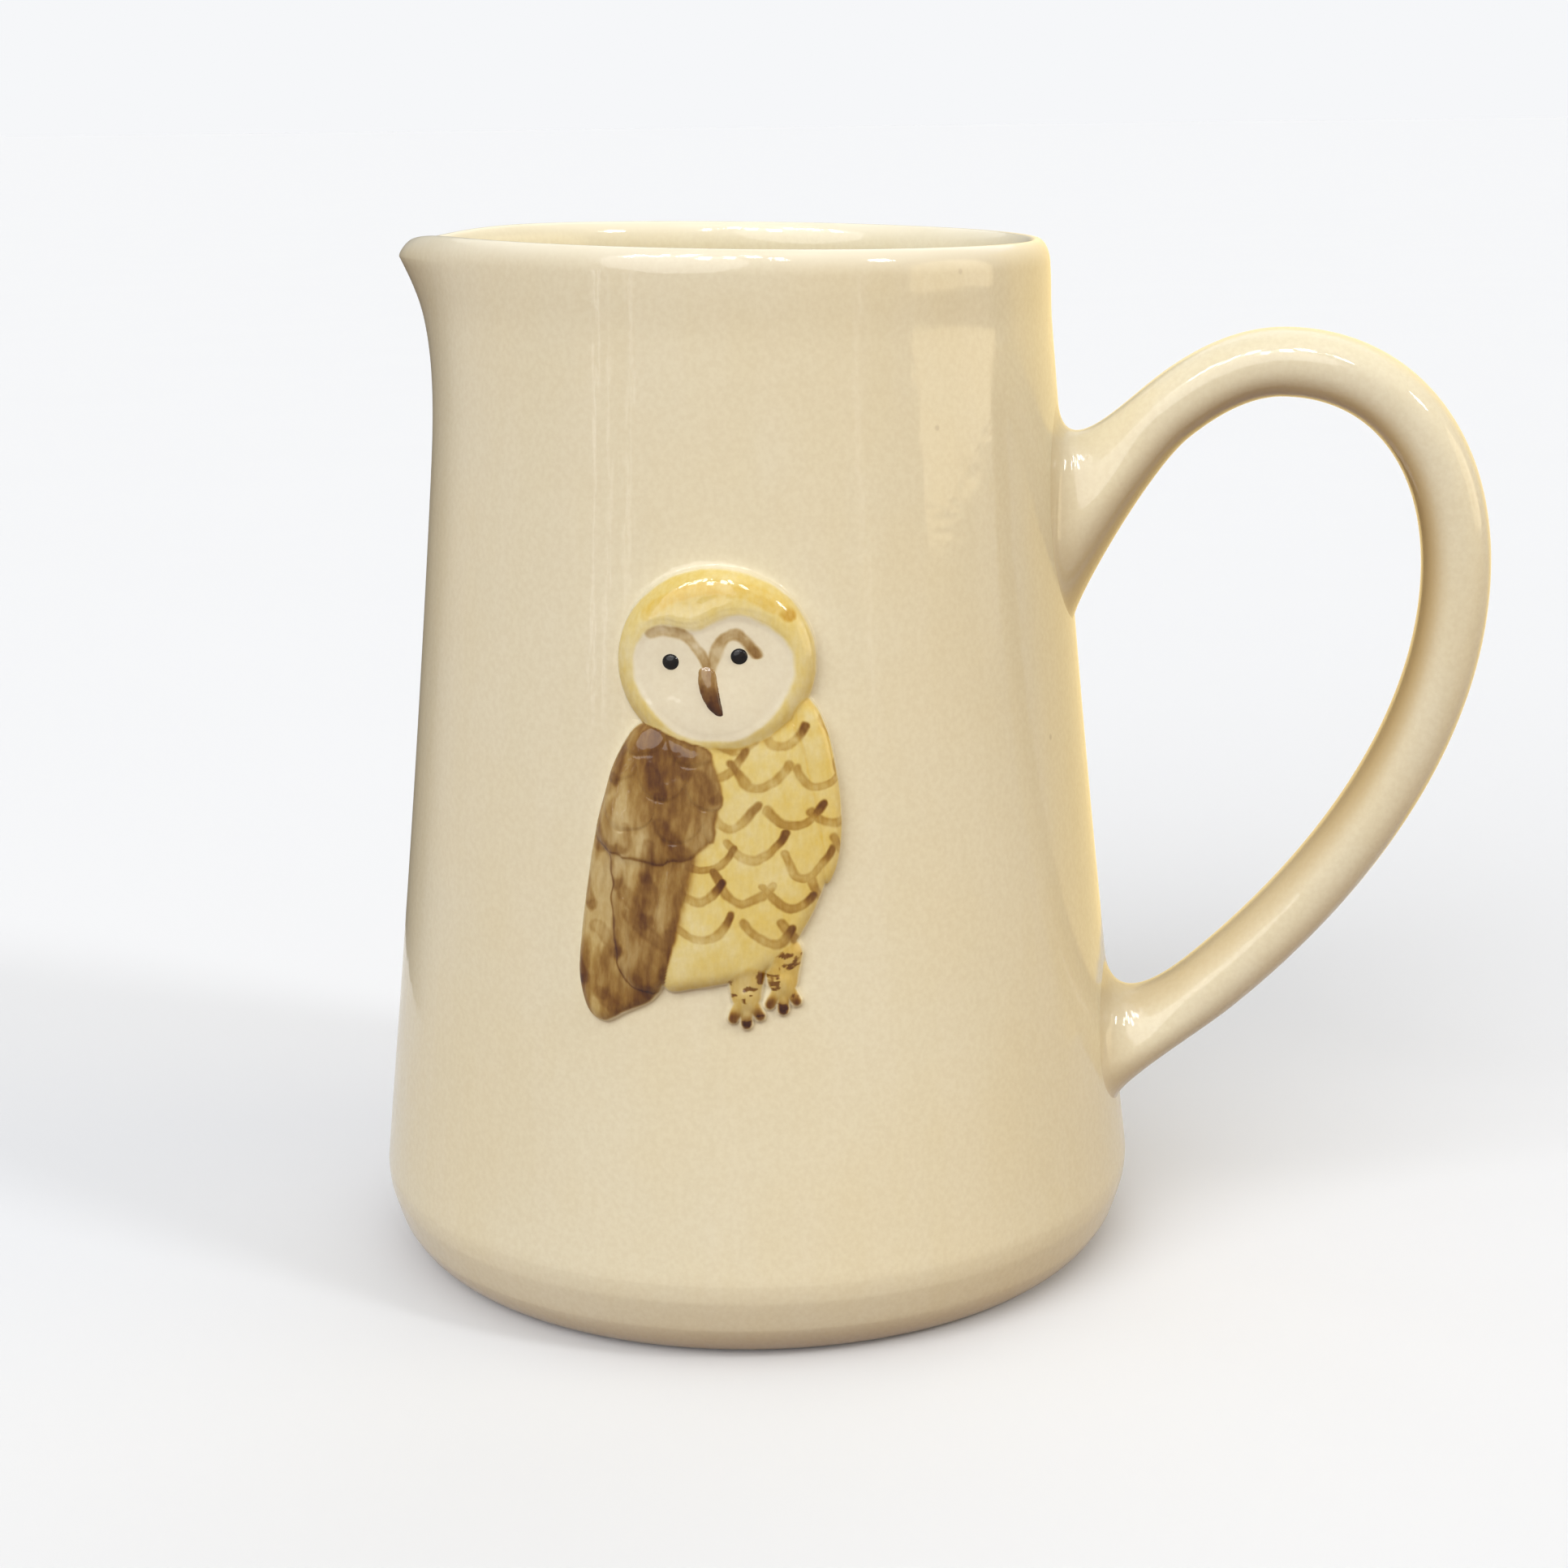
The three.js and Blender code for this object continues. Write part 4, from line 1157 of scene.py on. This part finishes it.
def make_beak(context):
    """The beak: a drop of clay with its point down and a little to the right."""
    owl = context.scene.owl_sizes
    shares = (
        (-0.5, 0.52), (0.3, 0.5), (0.5, 0.16), (0.68, -0.21), (0.8, -0.5), (0.25, -0.46), (-0.3, -0.18),
        (-0.6, 0.18),
    )
    line = beak_middle(owl) + np.array(shares) * (owl.beak_width, owl.beak_length)
    form = Form(smooth_closed(line))
    surface = bead_surface(owl, form, crown=0.5 * MM)
    piece = put_patch(context, "painted_beak", form, surface, 0.3 * MM, MM, 0.0, beak_stain)
    return finish_piece(piece, "sienna", painted_glaze(context), "owl_beak")


def make_feet(context):
    """Two feet, each a short feathered leg with three toes."""
    owl = context.scene.owl_sizes
    half = (3.4 * MM, 5.2 * MM)
    for name, lines in owl_leg_lines(owl).items():
        form, surface = Form(oval_line(lines[0][1], half)), form_surface(owl, name)
        piece = put_patch(context, "painted_" + name, form, surface, margin=2 * MM, depth=1.5 * MM, slip=0.0)
        finish_piece(piece, "gold", painted_glaze(context), "owl_" + name)
    return piece


# Node helpers


def add_node(tree, kind, inputs=None, **settings):
    """Adds a shader node, sets its settings, and sets or links its inputs."""
    node = tree.nodes.new(kind)
    for key, value in settings.items():
        setattr(node, key, value)
    for key, value in (inputs or {}).items():
        if isinstance(value, bpy.types.NodeSocket):
            tree.links.new(value, node.inputs[key])
        else:
            node.inputs[key].default_value = value
    return node


def blended(tree, amount, first, second):
    """A colour mix of two colours or sockets."""
    node = add_node(tree, "ShaderNodeMix", data_type="RGBA")
    for index, value in ((0, amount), (6, first), (7, second)):
        if isinstance(value, bpy.types.NodeSocket):
            tree.links.new(value, node.inputs[index])
        else:
            node.inputs[index].default_value = value
    return node.outputs[2]


def calculated(tree, operation, first, second=0.0, third=0.0):
    """A value worked out from sockets or numbers."""
    inputs = {0: first, 1: second, 2: third}
    return add_node(tree, "ShaderNodeMath", inputs, operation=operation).outputs[0]


def ranged(tree, value, low, high, to_low=0.0, to_high=1.0):
    """A value carried from one range to another, smoothly and held at the ends."""
    inputs = {"Value": value, "From Min": low, "From Max": high, "To Min": to_low, "To Max": to_high}
    return add_node(tree, "ShaderNodeMapRange", inputs, interpolation_type="SMOOTHSTEP").outputs[0]


def opaque(rgb):
    """A colour with full alpha."""
    return (*rgb, 1.0)


def new_group(name, inputs, outputs):
    """A shader node group with named sockets, given as (name, kind, default)."""
    group = bpy.data.node_groups.new(name, "ShaderNodeTree")
    for direction, sockets in (("INPUT", inputs), ("OUTPUT", outputs)):
        for label, kind, default in sockets:
            socket = group.interface.new_socket(label, in_out=direction, socket_type=kind)
            if direction == "INPUT":
                socket.default_value = default
    return group, group.nodes.new("NodeGroupInput").outputs, group.nodes.new("NodeGroupOutput").inputs


# Scale of each noise in the glaze, in cells or waves to the metre
GLAZE_SCALES = {
    "cloud": 42.0, "grain": 1500.0, "specks": 260.0, "choice": 900.0,
    "runs": 260.0, "run_waves": 520.0, "waves": 90.0, "dimples": 620.0,
}


def glaze_group():
    """The unevenness of a dipped glaze, shared by every finish of the jug.

    Clouding is slow noise, grain is fine noise, specks are rare small cells, and ripple is slow noise plus
    noise drawn out along Z, as the glaze ran.
    """
    known = bpy.data.node_groups.get("Glaze unevenness")
    if known:
        return known
    value, scales = "NodeSocketFloat", GLAZE_SCALES
    inputs = [("Cloud size", value, 1.0), ("Run height", value, 0.5), ("Dimple height", value, 0.25)]
    outputs = [(label, value, 0) for label in ("Cloud", "Grain", "Specks", "Ripple", "Runs")]
    group, given, made = new_group("Glaze unevenness", inputs, outputs)
    place = group.nodes.new("ShaderNodeTexCoord").outputs["Object"]

    def noise(vector, scale, detail, roughness=0.5):
        inputs = {"Vector": vector, "Scale": scale, "Detail": detail, "Roughness": roughness}
        return add_node(group, "ShaderNodeTexNoise", inputs).outputs["Fac"]

    cloud_scale = calculated(group, "MULTIPLY", given["Cloud size"], scales["cloud"])
    cloud = noise(place, cloud_scale, 3.0, 0.55)
    group.links.new(ranged(group, cloud, 0.3, 0.7), made["Cloud"])
    group.links.new(ranged(group, noise(place, scales["grain"], 2.0, 0.6), 0.25, 0.75), made["Grain"])
    cells = add_node(group, "ShaderNodeTexVoronoi", {"Vector": place, "Scale": scales["specks"]})
    choice = noise(cells.outputs["Position"], scales["choice"], 0.0)
    chosen = calculated(group, "GREATER_THAN", choice, 0.74)
    dot = ranged(group, cells.outputs["Distance"], 0.05, 0.13, 1.0, 0.0)
    group.links.new(calculated(group, "MULTIPLY", dot, chosen), made["Specks"])
    drawn_out = add_node(group, "ShaderNodeMapping", {"Vector": place, "Scale": (1.0, 1.0, 0.06)}).outputs[0]
    group.links.new(ranged(group, noise(drawn_out, scales["runs"], 2.0), 0.35, 0.7), made["Runs"])
    runs = calculated(group, "MULTIPLY", noise(drawn_out, scales["run_waves"], 2.0), given["Run height"])
    waves = calculated(group, "ADD", noise(place, scales["waves"], 1.0), runs)
    dimples = calculated(group, "MULTIPLY", noise(place, scales["dimples"], 1.0), given["Dimple height"])
    group.links.new(calculated(group, "ADD", waves, dimples), made["Ripple"])
    return group


def glazed_shader(tree, base, ripple, grain, dullness, full_coat=0.65):
    """A glossy glaze: a Principled base under a clear coat, both waved by the ripple."""
    bump = add_node(tree, "ShaderNodeBump", {"Height": ripple, "Strength": 0.25, "Distance": 0.25 * MM})
    rough = ranged(tree, grain, 0.0, 1.0, 0.36, 0.46)
    if dullness is not None:
        rough = calculated(tree, "ADD", rough, calculated(tree, "MULTIPLY", dullness, 0.5))
    inputs = {
        "Base Color": base, "Roughness": rough, "Specular IOR Level": 0.05,
        "Coat Roughness": 0.06, "Coat IOR": 1.45,
        "Normal": bump.outputs[0], "Coat Normal": bump.outputs[0],
    }
    shader = add_node(tree, "ShaderNodeBsdfPrincipled", inputs)
    if dullness is None:
        shader.inputs["Coat Weight"].default_value = full_coat
    else:
        coat = calculated(tree, "MULTIPLY_ADD", dullness, -full_coat, full_coat)
        tree.links.new(coat, shader.inputs["Coat Weight"])
    output = add_node(tree, "ShaderNodeOutputMaterial")
    tree.links.new(shader.outputs[0], output.inputs["Surface"])
    return shader


def new_material(name):
    """An empty node material."""
    material = bpy.data.materials.new(name)
    material.use_nodes = True
    material.node_tree.nodes.clear()
    return material


def cream_ground(tree, colours, unevenness):
    """The cream glaze as a colour: clouded, thinner over edges, darker where it pools, with fine specks."""
    cream = opaque(colours.cream)
    warm = opaque(tuple(share * tone for share, tone in zip((0.992, 0.972, 0.93), colours.cream)))
    ground = blended(tree, unevenness.outputs["Cloud"], cream, warm)
    layers = (("Runs", 0.14, colours.thin), ("Grain", 0.13, colours.pool), ("Specks", 0.22, colours.speck))
    for label, strength, tone in layers:
        amount = calculated(tree, "MULTIPLY", unevenness.outputs[label], strength)
        ground = blended(tree, amount, ground, opaque(tone))
    return ground


def cream_glaze(context):
    """Cream glaze over pale clay, for the vessel and the handle."""
    known = bpy.data.materials.get("Cream glaze")
    if known:
        return known
    colours = context.scene.glaze_colours
    material = new_material("Cream glaze")
    tree = material.node_tree
    unevenness = add_node(tree, "ShaderNodeGroup", node_tree=glaze_group())
    ground = cream_ground(tree, colours, unevenness)
    thin, pool, bare = (
        add_node(tree, "ShaderNodeAttribute", attribute_name=name).outputs["Fac"]
        for name in ("thin", "pool", "bare")
    )
    worn = calculated(tree, "MULTIPLY", thin, ranged(tree, unevenness.outputs["Cloud"], 0.0, 1.0, 0.5, 1.0))
    ground = blended(tree, worn, ground, opaque(colours.thin))
    # Pooled glaze on the floor inside, and painted shade over the foot and on the handle, in the pooled
    # colour.
    ground = blended(tree, calculated(tree, "MULTIPLY", pool, 0.6), ground, opaque(colours.pool))
    ground = blended(tree, bare, ground, opaque(colours.clay))
    glazed_shader(tree, ground, unevenness.outputs["Ripple"], unevenness.outputs["Grain"], bare)
    return material


def painted_glaze(context):
    """Stained slip and washes under the cream glaze, for the owl.

    The stain attribute holds what the washes let through; its power is varied by fine noise, as brushed
    washes are.
    """
    known = bpy.data.materials.get("Painted glaze")
    if known:
        return known
    colours = context.scene.glaze_colours
    material = new_material("Painted glaze")
    tree = material.node_tree
    unevenness = add_node(tree, "ShaderNodeGroup", {"Dimple height": 0.8}, node_tree=glaze_group())
    ground = cream_ground(tree, colours, unevenness)
    slip = add_node(tree, "ShaderNodeAttribute", attribute_name="slip").outputs["Fac"]
    ground = blended(tree, slip, ground, opaque(colours.white))
    stain = add_node(tree, "ShaderNodeAttribute", attribute_name="stain").outputs["Color"]
    place = add_node(tree, "ShaderNodeTexCoord").outputs["Object"]
    bristles = add_node(tree, "ShaderNodeMapping", {"Vector": place, "Scale": (1.0, 1.0, 0.35)}).outputs[0]
    bristle_noise = {"Vector": bristles, "Scale": 1700.0, "Detail": 2.0}
    brushed = add_node(tree, "ShaderNodeTexNoise", bristle_noise).outputs["Fac"]
    power = ranged(tree, brushed, 0.25, 0.75, 0.84, 1.16)
    stain = add_node(tree, "ShaderNodeGamma", {"Color": stain, "Gamma": power}).outputs[0]
    washed = add_node(tree, "ShaderNodeMix", data_type="RGBA", blend_type="MULTIPLY")
    washed.inputs[0].default_value = 1.0
    tree.links.new(ground, washed.inputs[6])
    tree.links.new(stain, washed.inputs[7])
    glazed_shader(tree, washed.outputs[2], unevenness.outputs["Ripple"], unevenness.outputs["Grain"], None)
    return material


def black_glaze(context):
    """Black glaze, a little browner where it thins."""
    known = bpy.data.materials.get("Black glaze")
    if known:
        return known
    colours = context.scene.glaze_colours
    material = new_material("Black glaze")
    tree = material.node_tree
    unevenness = add_node(tree, "ShaderNodeGroup", node_tree=glaze_group())
    thinner = calculated(tree, "MULTIPLY", unevenness.outputs["Grain"], 0.04)
    base = blended(tree, thinner, opaque(colours.black), opaque(colours.speck))
    glazed_shader(tree, base, unevenness.outputs["Ripple"], unevenness.outputs["Grain"], None, 0.35)
    return material


# The studio


# Bright cards and lamps that show in the glaze: azimuth and elevation in degrees, distance, width and height
# in metres, and brightness
REFLECTORS = (
    ("Card", -133, 4, 1.2, (0.018, 0.24), 4),
    ("Card", -128, 4, 1.2, (0.012, 0.24), 4),
    ("Card", -121, 4, 1.2, (0.02, 0.24), 3),
    ("Card", -40, 4, 1.2, (0.03, 0.24), 1.5),
    ("Warm card", 12, 12, 1.2, (0.3, 0.8), 0.6),
    ("Top card", -80, 74, 1.2, (0.8, 0.4), 1.2),
    *(("Lamp", -128 + 11 * index, 48 + 5 * (index % 3), 1.4, (0.1, 0.3), 30) for index in range(7)),
)


def direction_of(azimuth, elevation):
    """The unit vector towards a place in the sky, given by its angles in radians."""
    level = np.cos(elevation)
    return Vector((level * np.cos(azimuth), level * np.sin(azimuth), np.sin(elevation)))


def add_sun(name, azimuth, elevation, width, level, tint=(1.0, 1.0, 1.0)):
    """A distant lamp that adds the given share of full light to a level surface."""
    data = bpy.data.lights.new(name, "SUN")
    data.color = tint
    data.angle = width
    data.energy = level * np.pi / np.sin(elevation)
    lamp = bpy.data.objects.new(name, data)
    lamp.rotation_euler = direction_of(azimuth, elevation).to_track_quat("Z", "Y").to_euler()
    bpy.context.scene.collection.objects.link(lamp)
    return lamp


def add_reflector(name, target, azimuth, elevation, distance, size, brightness):
    """A bright card that shows only as a reflection in the glaze."""
    data = bpy.data.lights.new(name, "AREA")
    data.shape = "RECTANGLE"
    data.size, data.size_y = size
    data.energy = brightness * np.pi * size[0] * size[1]
    lamp = bpy.data.objects.new(name, data)
    offset = direction_of(np.radians(azimuth), np.radians(elevation)) * distance
    lamp.location = target + offset
    lamp.rotation_euler = offset.to_track_quat("Z", "Y").to_euler()
    lamp.visible_diffuse = False
    bpy.context.scene.collection.objects.link(lamp)


def add_flag(name, stops):
    """A sheet that stands bent round the jug, and shows only as a reflection in the glaze.

    stops are azimuths in degrees with the colour that glows there; between them the colour runs smoothly.
    """
    radius, height, steps = 0.16, 0.2, 68
    degrees = np.linspace(stops[0][0], stops[-1][0], steps)
    tones = np.ones((steps, 4))
    tones[:, :3] = stops[0][1]
    for (start, _), (end, tone) in zip(stops[:-1], stops[1:]):
        tones[:, :3] = mix(tones[:, :3], np.array(tone), smooth_step(degrees, start, end)[:, None])
    angle = np.radians(degrees)
    low = np.stack([radius * np.cos(angle), radius * np.sin(angle), 0 * angle], axis=1)
    points = np.concatenate([low, low + (0, 0, height)])
    faces = [(k, k + 1, k + 1 + steps, k + steps) for k in range(steps - 1)]
    mesh = bpy.data.meshes.new(name)
    mesh.from_pydata(points.tolist(), [], faces)
    layer = mesh.attributes.new("tone", "FLOAT_COLOR", "POINT")
    layer.data.foreach_set("color", np.concatenate([tones, tones]).astype(np.float32).ravel())
    flag = bpy.data.objects.new(name, mesh)
    bpy.context.scene.collection.objects.link(flag)
    material = new_material(name)
    tree = material.node_tree
    tone = add_node(tree, "ShaderNodeAttribute", attribute_name="tone").outputs["Color"]
    glow = add_node(tree, "ShaderNodeEmission", {"Color": tone})
    output = add_node(tree, "ShaderNodeOutputMaterial")
    tree.links.new(glow.outputs[0], output.inputs["Surface"])
    mesh.materials.append(material)
    flag.visible_camera = False
    flag.visible_diffuse = False
    flag.visible_shadow = False


def seen_directly(tree):
    """1 for rays of the camera, of reflections and of glass, and 0 for scattered light."""
    rays = add_node(tree, "ShaderNodeLightPath").outputs
    seen = calculated(tree, "MAXIMUM", rays["Is Camera Ray"], rays["Is Glossy Ray"])
    return calculated(tree, "MAXIMUM", seen, rays["Is Transmission Ray"])


def make_floor(studio):
    """A wide floor just under the foot, as one square.

    Its paper is as pale as the backdrop under the light that falls on it. The light that it scatters up is
    that of a wooden table.
    """
    reach, below = 40.0, 0.05 * MM
    corners = np.array([[-reach, -reach], [reach, -reach], [reach, reach], [-reach, reach]])
    points = np.concatenate([corners, np.full((4, 1), -below)], axis=1)
    mesh = bpy.data.meshes.new("studio_floor")
    mesh.from_pydata(points.tolist(), [], [(0, 1, 2, 3)])
    floor = bpy.data.objects.new("studio_floor", mesh)
    bpy.context.scene.collection.objects.link(floor)
    material = new_material("Paper floor")
    tree = material.node_tree
    plain = studio.ambient + studio.side_level + studio.front_level + studio.back_level
    grain = add_node(tree, "ShaderNodeTexNoise", {"Scale": 900.0, "Detail": 2.0}).outputs["Fac"]
    light = [plain + studio.warm_level * tint for tint in studio.warm_tint]
    paper = [tone / share for tone, share in zip(studio.backdrop, light)]
    fibre = [0.99 * tone for tone in paper]
    pale = blended(tree, grain, opaque(paper), opaque(fibre))
    shown = blended(tree, seen_directly(tree), opaque(studio.table), pale)
    diffuse = add_node(tree, "ShaderNodeBsdfDiffuse", {"Color": shown})
    output = add_node(tree, "ShaderNodeOutputMaterial")
    tree.links.new(diffuse.outputs[0], output.inputs["Surface"])
    mesh.materials.append(material)


def make_world(studio):
    """A white sky, brighter with height: half as much again as the mean, times the sine of the height.

    The camera and reflections see the backdrop's own colour.
    """
    world = bpy.data.worlds.new("Studio")
    bpy.context.scene.world = world
    world.use_nodes = True
    tree = world.node_tree
    tree.nodes.clear()
    direction = add_node(tree, "ShaderNodeTexCoord").outputs["Generated"]
    height = add_node(tree, "ShaderNodeSeparateXYZ", {"Vector": direction}).outputs["Z"]
    sky = calculated(tree, "MULTIPLY", calculated(tree, "MAXIMUM", height, 0.0), 1.5 * studio.ambient)
    shown = blended(tree, seen_directly(tree), sky, opaque(studio.backdrop))
    background = add_node(tree, "ShaderNodeBackground", {"Color": shown})
    output = add_node(tree, "ShaderNodeOutputWorld")
    tree.links.new(background.outputs[0], output.inputs["Surface"])


def make_camera(studio):
    """A camera that looks across the jug and a little down, turned about the axis and leaning slightly."""
    data = bpy.data.cameras.new("Photograph")
    data.sensor_fit = "HORIZONTAL"
    data.sensor_width = 36
    data.lens = studio.lens
    data.clip_start = 0.01
    camera = bpy.data.objects.new("Photograph", data)
    turn_about = Matrix.Rotation(studio.yaw, 4, "Z")
    place = turn_about @ Matrix.Translation((studio.aside, -studio.distance, studio.camera_height))
    tilt = Matrix.Rotation(np.pi / 2 - studio.pitch, 4, "X") @ Matrix.Rotation(studio.roll, 4, "Z")
    camera.matrix_world = place @ tilt
    scene = bpy.context.scene
    scene.collection.objects.link(camera)
    scene.camera = camera


def make_studio(context):
    """Floor, sky, side, front, back and warm lamps, reflected cards and flag, and the camera."""
    side_width, front_width, back_width, warm_width = (np.radians(degrees) for degrees in (9, 52, 60, 40))
    studio = context.scene.studio_settings
    make_floor(studio)
    make_world(studio)
    add_sun("Side lamp", studio.side_azimuth, studio.side_height, side_width, studio.side_level)
    add_sun("Front lamp", studio.front_azimuth, studio.front_height, front_width, studio.front_level)
    add_sun("Back lamp", studio.back_azimuth, studio.back_height, back_width, studio.back_level)
    warm_tint = tuple(studio.warm_tint)
    add_sun("Warm lamp", studio.warm_azimuth, studio.warm_height, warm_width, studio.warm_level, warm_tint)
    target = Vector((0, 0, context.scene.vessel_sizes.height / 2))
    for name, *place_size_and_brightness in REFLECTORS:
        add_reflector(name, target, *place_size_and_brightness)
    plain, warm, dark = tuple(studio.backdrop), (1.45, 1.12, 0.52), (0.09, 0.08, 0.07)
    add_flag("Flag", ((14, plain), (30, warm), (81, warm), (93, dark), (150, dark), (176, plain)))
    make_camera(studio)
    context.scene.view_settings.view_transform = "Standard"


class POTTERY_OT_vessel(bpy.types.Operator):
    """Throws and glazes the vessel with its spout"""

    bl_idname = "pottery.vessel"
    bl_label = "Vessel"
    bl_options = {"REGISTER", "UNDO"}

    def execute(self, context):
        make_vessel(context)
        return {"FINISHED"}


class POTTERY_OT_handle(bpy.types.Operator):
    """Pulls and glazes the strap handle"""

    bl_idname = "pottery.handle"
    bl_label = "Handle"
    bl_options = {"REGISTER", "UNDO"}

    def execute(self, context):
        make_handle(context)
        return {"FINISHED"}


class POTTERY_OT_breast(bpy.types.Operator):
    """Raises the breast and the tail"""

    bl_idname = "pottery.breast"
    bl_label = "Breast and tail"
    bl_options = {"REGISTER", "UNDO"}

    def execute(self, context):
        make_breast(context)
        return {"FINISHED"}


class POTTERY_OT_wings(bpy.types.Operator):
    """Raises both wings with their feathers"""

    bl_idname = "pottery.wings"
    bl_label = "Wings"
    bl_options = {"REGISTER", "UNDO"}

    def execute(self, context):
        make_wings(context)
        return {"FINISHED"}


class POTTERY_OT_head(bpy.types.Operator):
    """Raises the head and sets the face into it"""

    bl_idname = "pottery.head"
    bl_label = "Head"
    bl_options = {"REGISTER", "UNDO"}

    def execute(self, context):
        make_head(context)
        return {"FINISHED"}


class POTTERY_OT_eyes(bpy.types.Operator):
    """Sets the two beads of the eyes"""

    bl_idname = "pottery.eyes"
    bl_label = "Eyes"
    bl_options = {"REGISTER", "UNDO"}

    def execute(self, context):
        make_eyes(context)
        return {"FINISHED"}


class POTTERY_OT_beak(bpy.types.Operator):
    """Sets the drop of the beak"""

    bl_idname = "pottery.beak"
    bl_label = "Beak"
    bl_options = {"REGISTER", "UNDO"}

    def execute(self, context):
        make_beak(context)
        return {"FINISHED"}


class POTTERY_OT_feet(bpy.types.Operator):
    """Raises the feet with their toes"""

    bl_idname = "pottery.feet"
    bl_label = "Feet"
    bl_options = {"REGISTER", "UNDO"}

    def execute(self, context):
        make_feet(context)
        return {"FINISHED"}


class POTTERY_OT_studio(bpy.types.Operator):
    """Sets up the floor, the light and the camera"""

    bl_idname = "pottery.studio"
    bl_label = "Studio"
    bl_options = {"REGISTER", "UNDO"}

    def execute(self, context):
        make_studio(context)
        return {"FINISHED"}


STEPS = (
    POTTERY_OT_vessel,
    POTTERY_OT_handle,
    POTTERY_OT_breast,
    POTTERY_OT_wings,
    POTTERY_OT_head,
    POTTERY_OT_eyes,
    POTTERY_OT_beak,
    POTTERY_OT_feet,
    POTTERY_OT_studio,
)


class POTTERY_PT_jug(bpy.types.Panel):
    """Lists the steps of the jug and the sizes that shape it"""

    bl_idname = "POTTERY_PT_jug"
    bl_label = "Owl Jug"
    bl_space_type = "VIEW_3D"
    bl_region_type = "UI"
    bl_category = "Pottery"

    def draw(self, context):
        for step in STEPS:
            self.layout.operator(step.bl_idname)
        for name in SETTINGS:
            box = self.layout.box()
            group = getattr(context.scene, name)
            for key in group.bl_rna.properties.keys():
                if key not in {"rna_type", "name"}:
                    box.prop(group, key)


SETTINGS = {
    "vessel_sizes": VesselSizes,
    "strap_sizes": StrapSizes,
    "owl_sizes": OwlSizes,
    "glaze_colours": GlazeColours,
    "studio_settings": StudioSettings,
    "pottery_detail": PotteryDetail,
}


def register():
    """Registers the settings, the steps and the panel."""
    for name, group in SETTINGS.items():
        bpy.utils.register_class(group)
        setattr(bpy.types.Scene, name, PointerProperty(type=group))
    for step in STEPS:
        bpy.utils.register_class(step)
    bpy.utils.register_class(POTTERY_PT_jug)


def unregister():
    """Takes everything away again."""
    bpy.utils.unregister_class(POTTERY_PT_jug)
    for step in reversed(STEPS):
        bpy.utils.unregister_class(step)
    for name, group in SETTINGS.items():
        delattr(bpy.types.Scene, name)
        bpy.utils.unregister_class(group)


def main():
    """Runs every step in order."""
    register()
    bpy.ops.pottery.vessel()
    bpy.ops.pottery.handle()
    bpy.ops.pottery.breast()
    bpy.ops.pottery.wings()
    bpy.ops.pottery.head()
    bpy.ops.pottery.eyes()
    bpy.ops.pottery.beak()
    bpy.ops.pottery.feet()
    bpy.ops.pottery.studio()


if __name__ == "__main__":
    main()
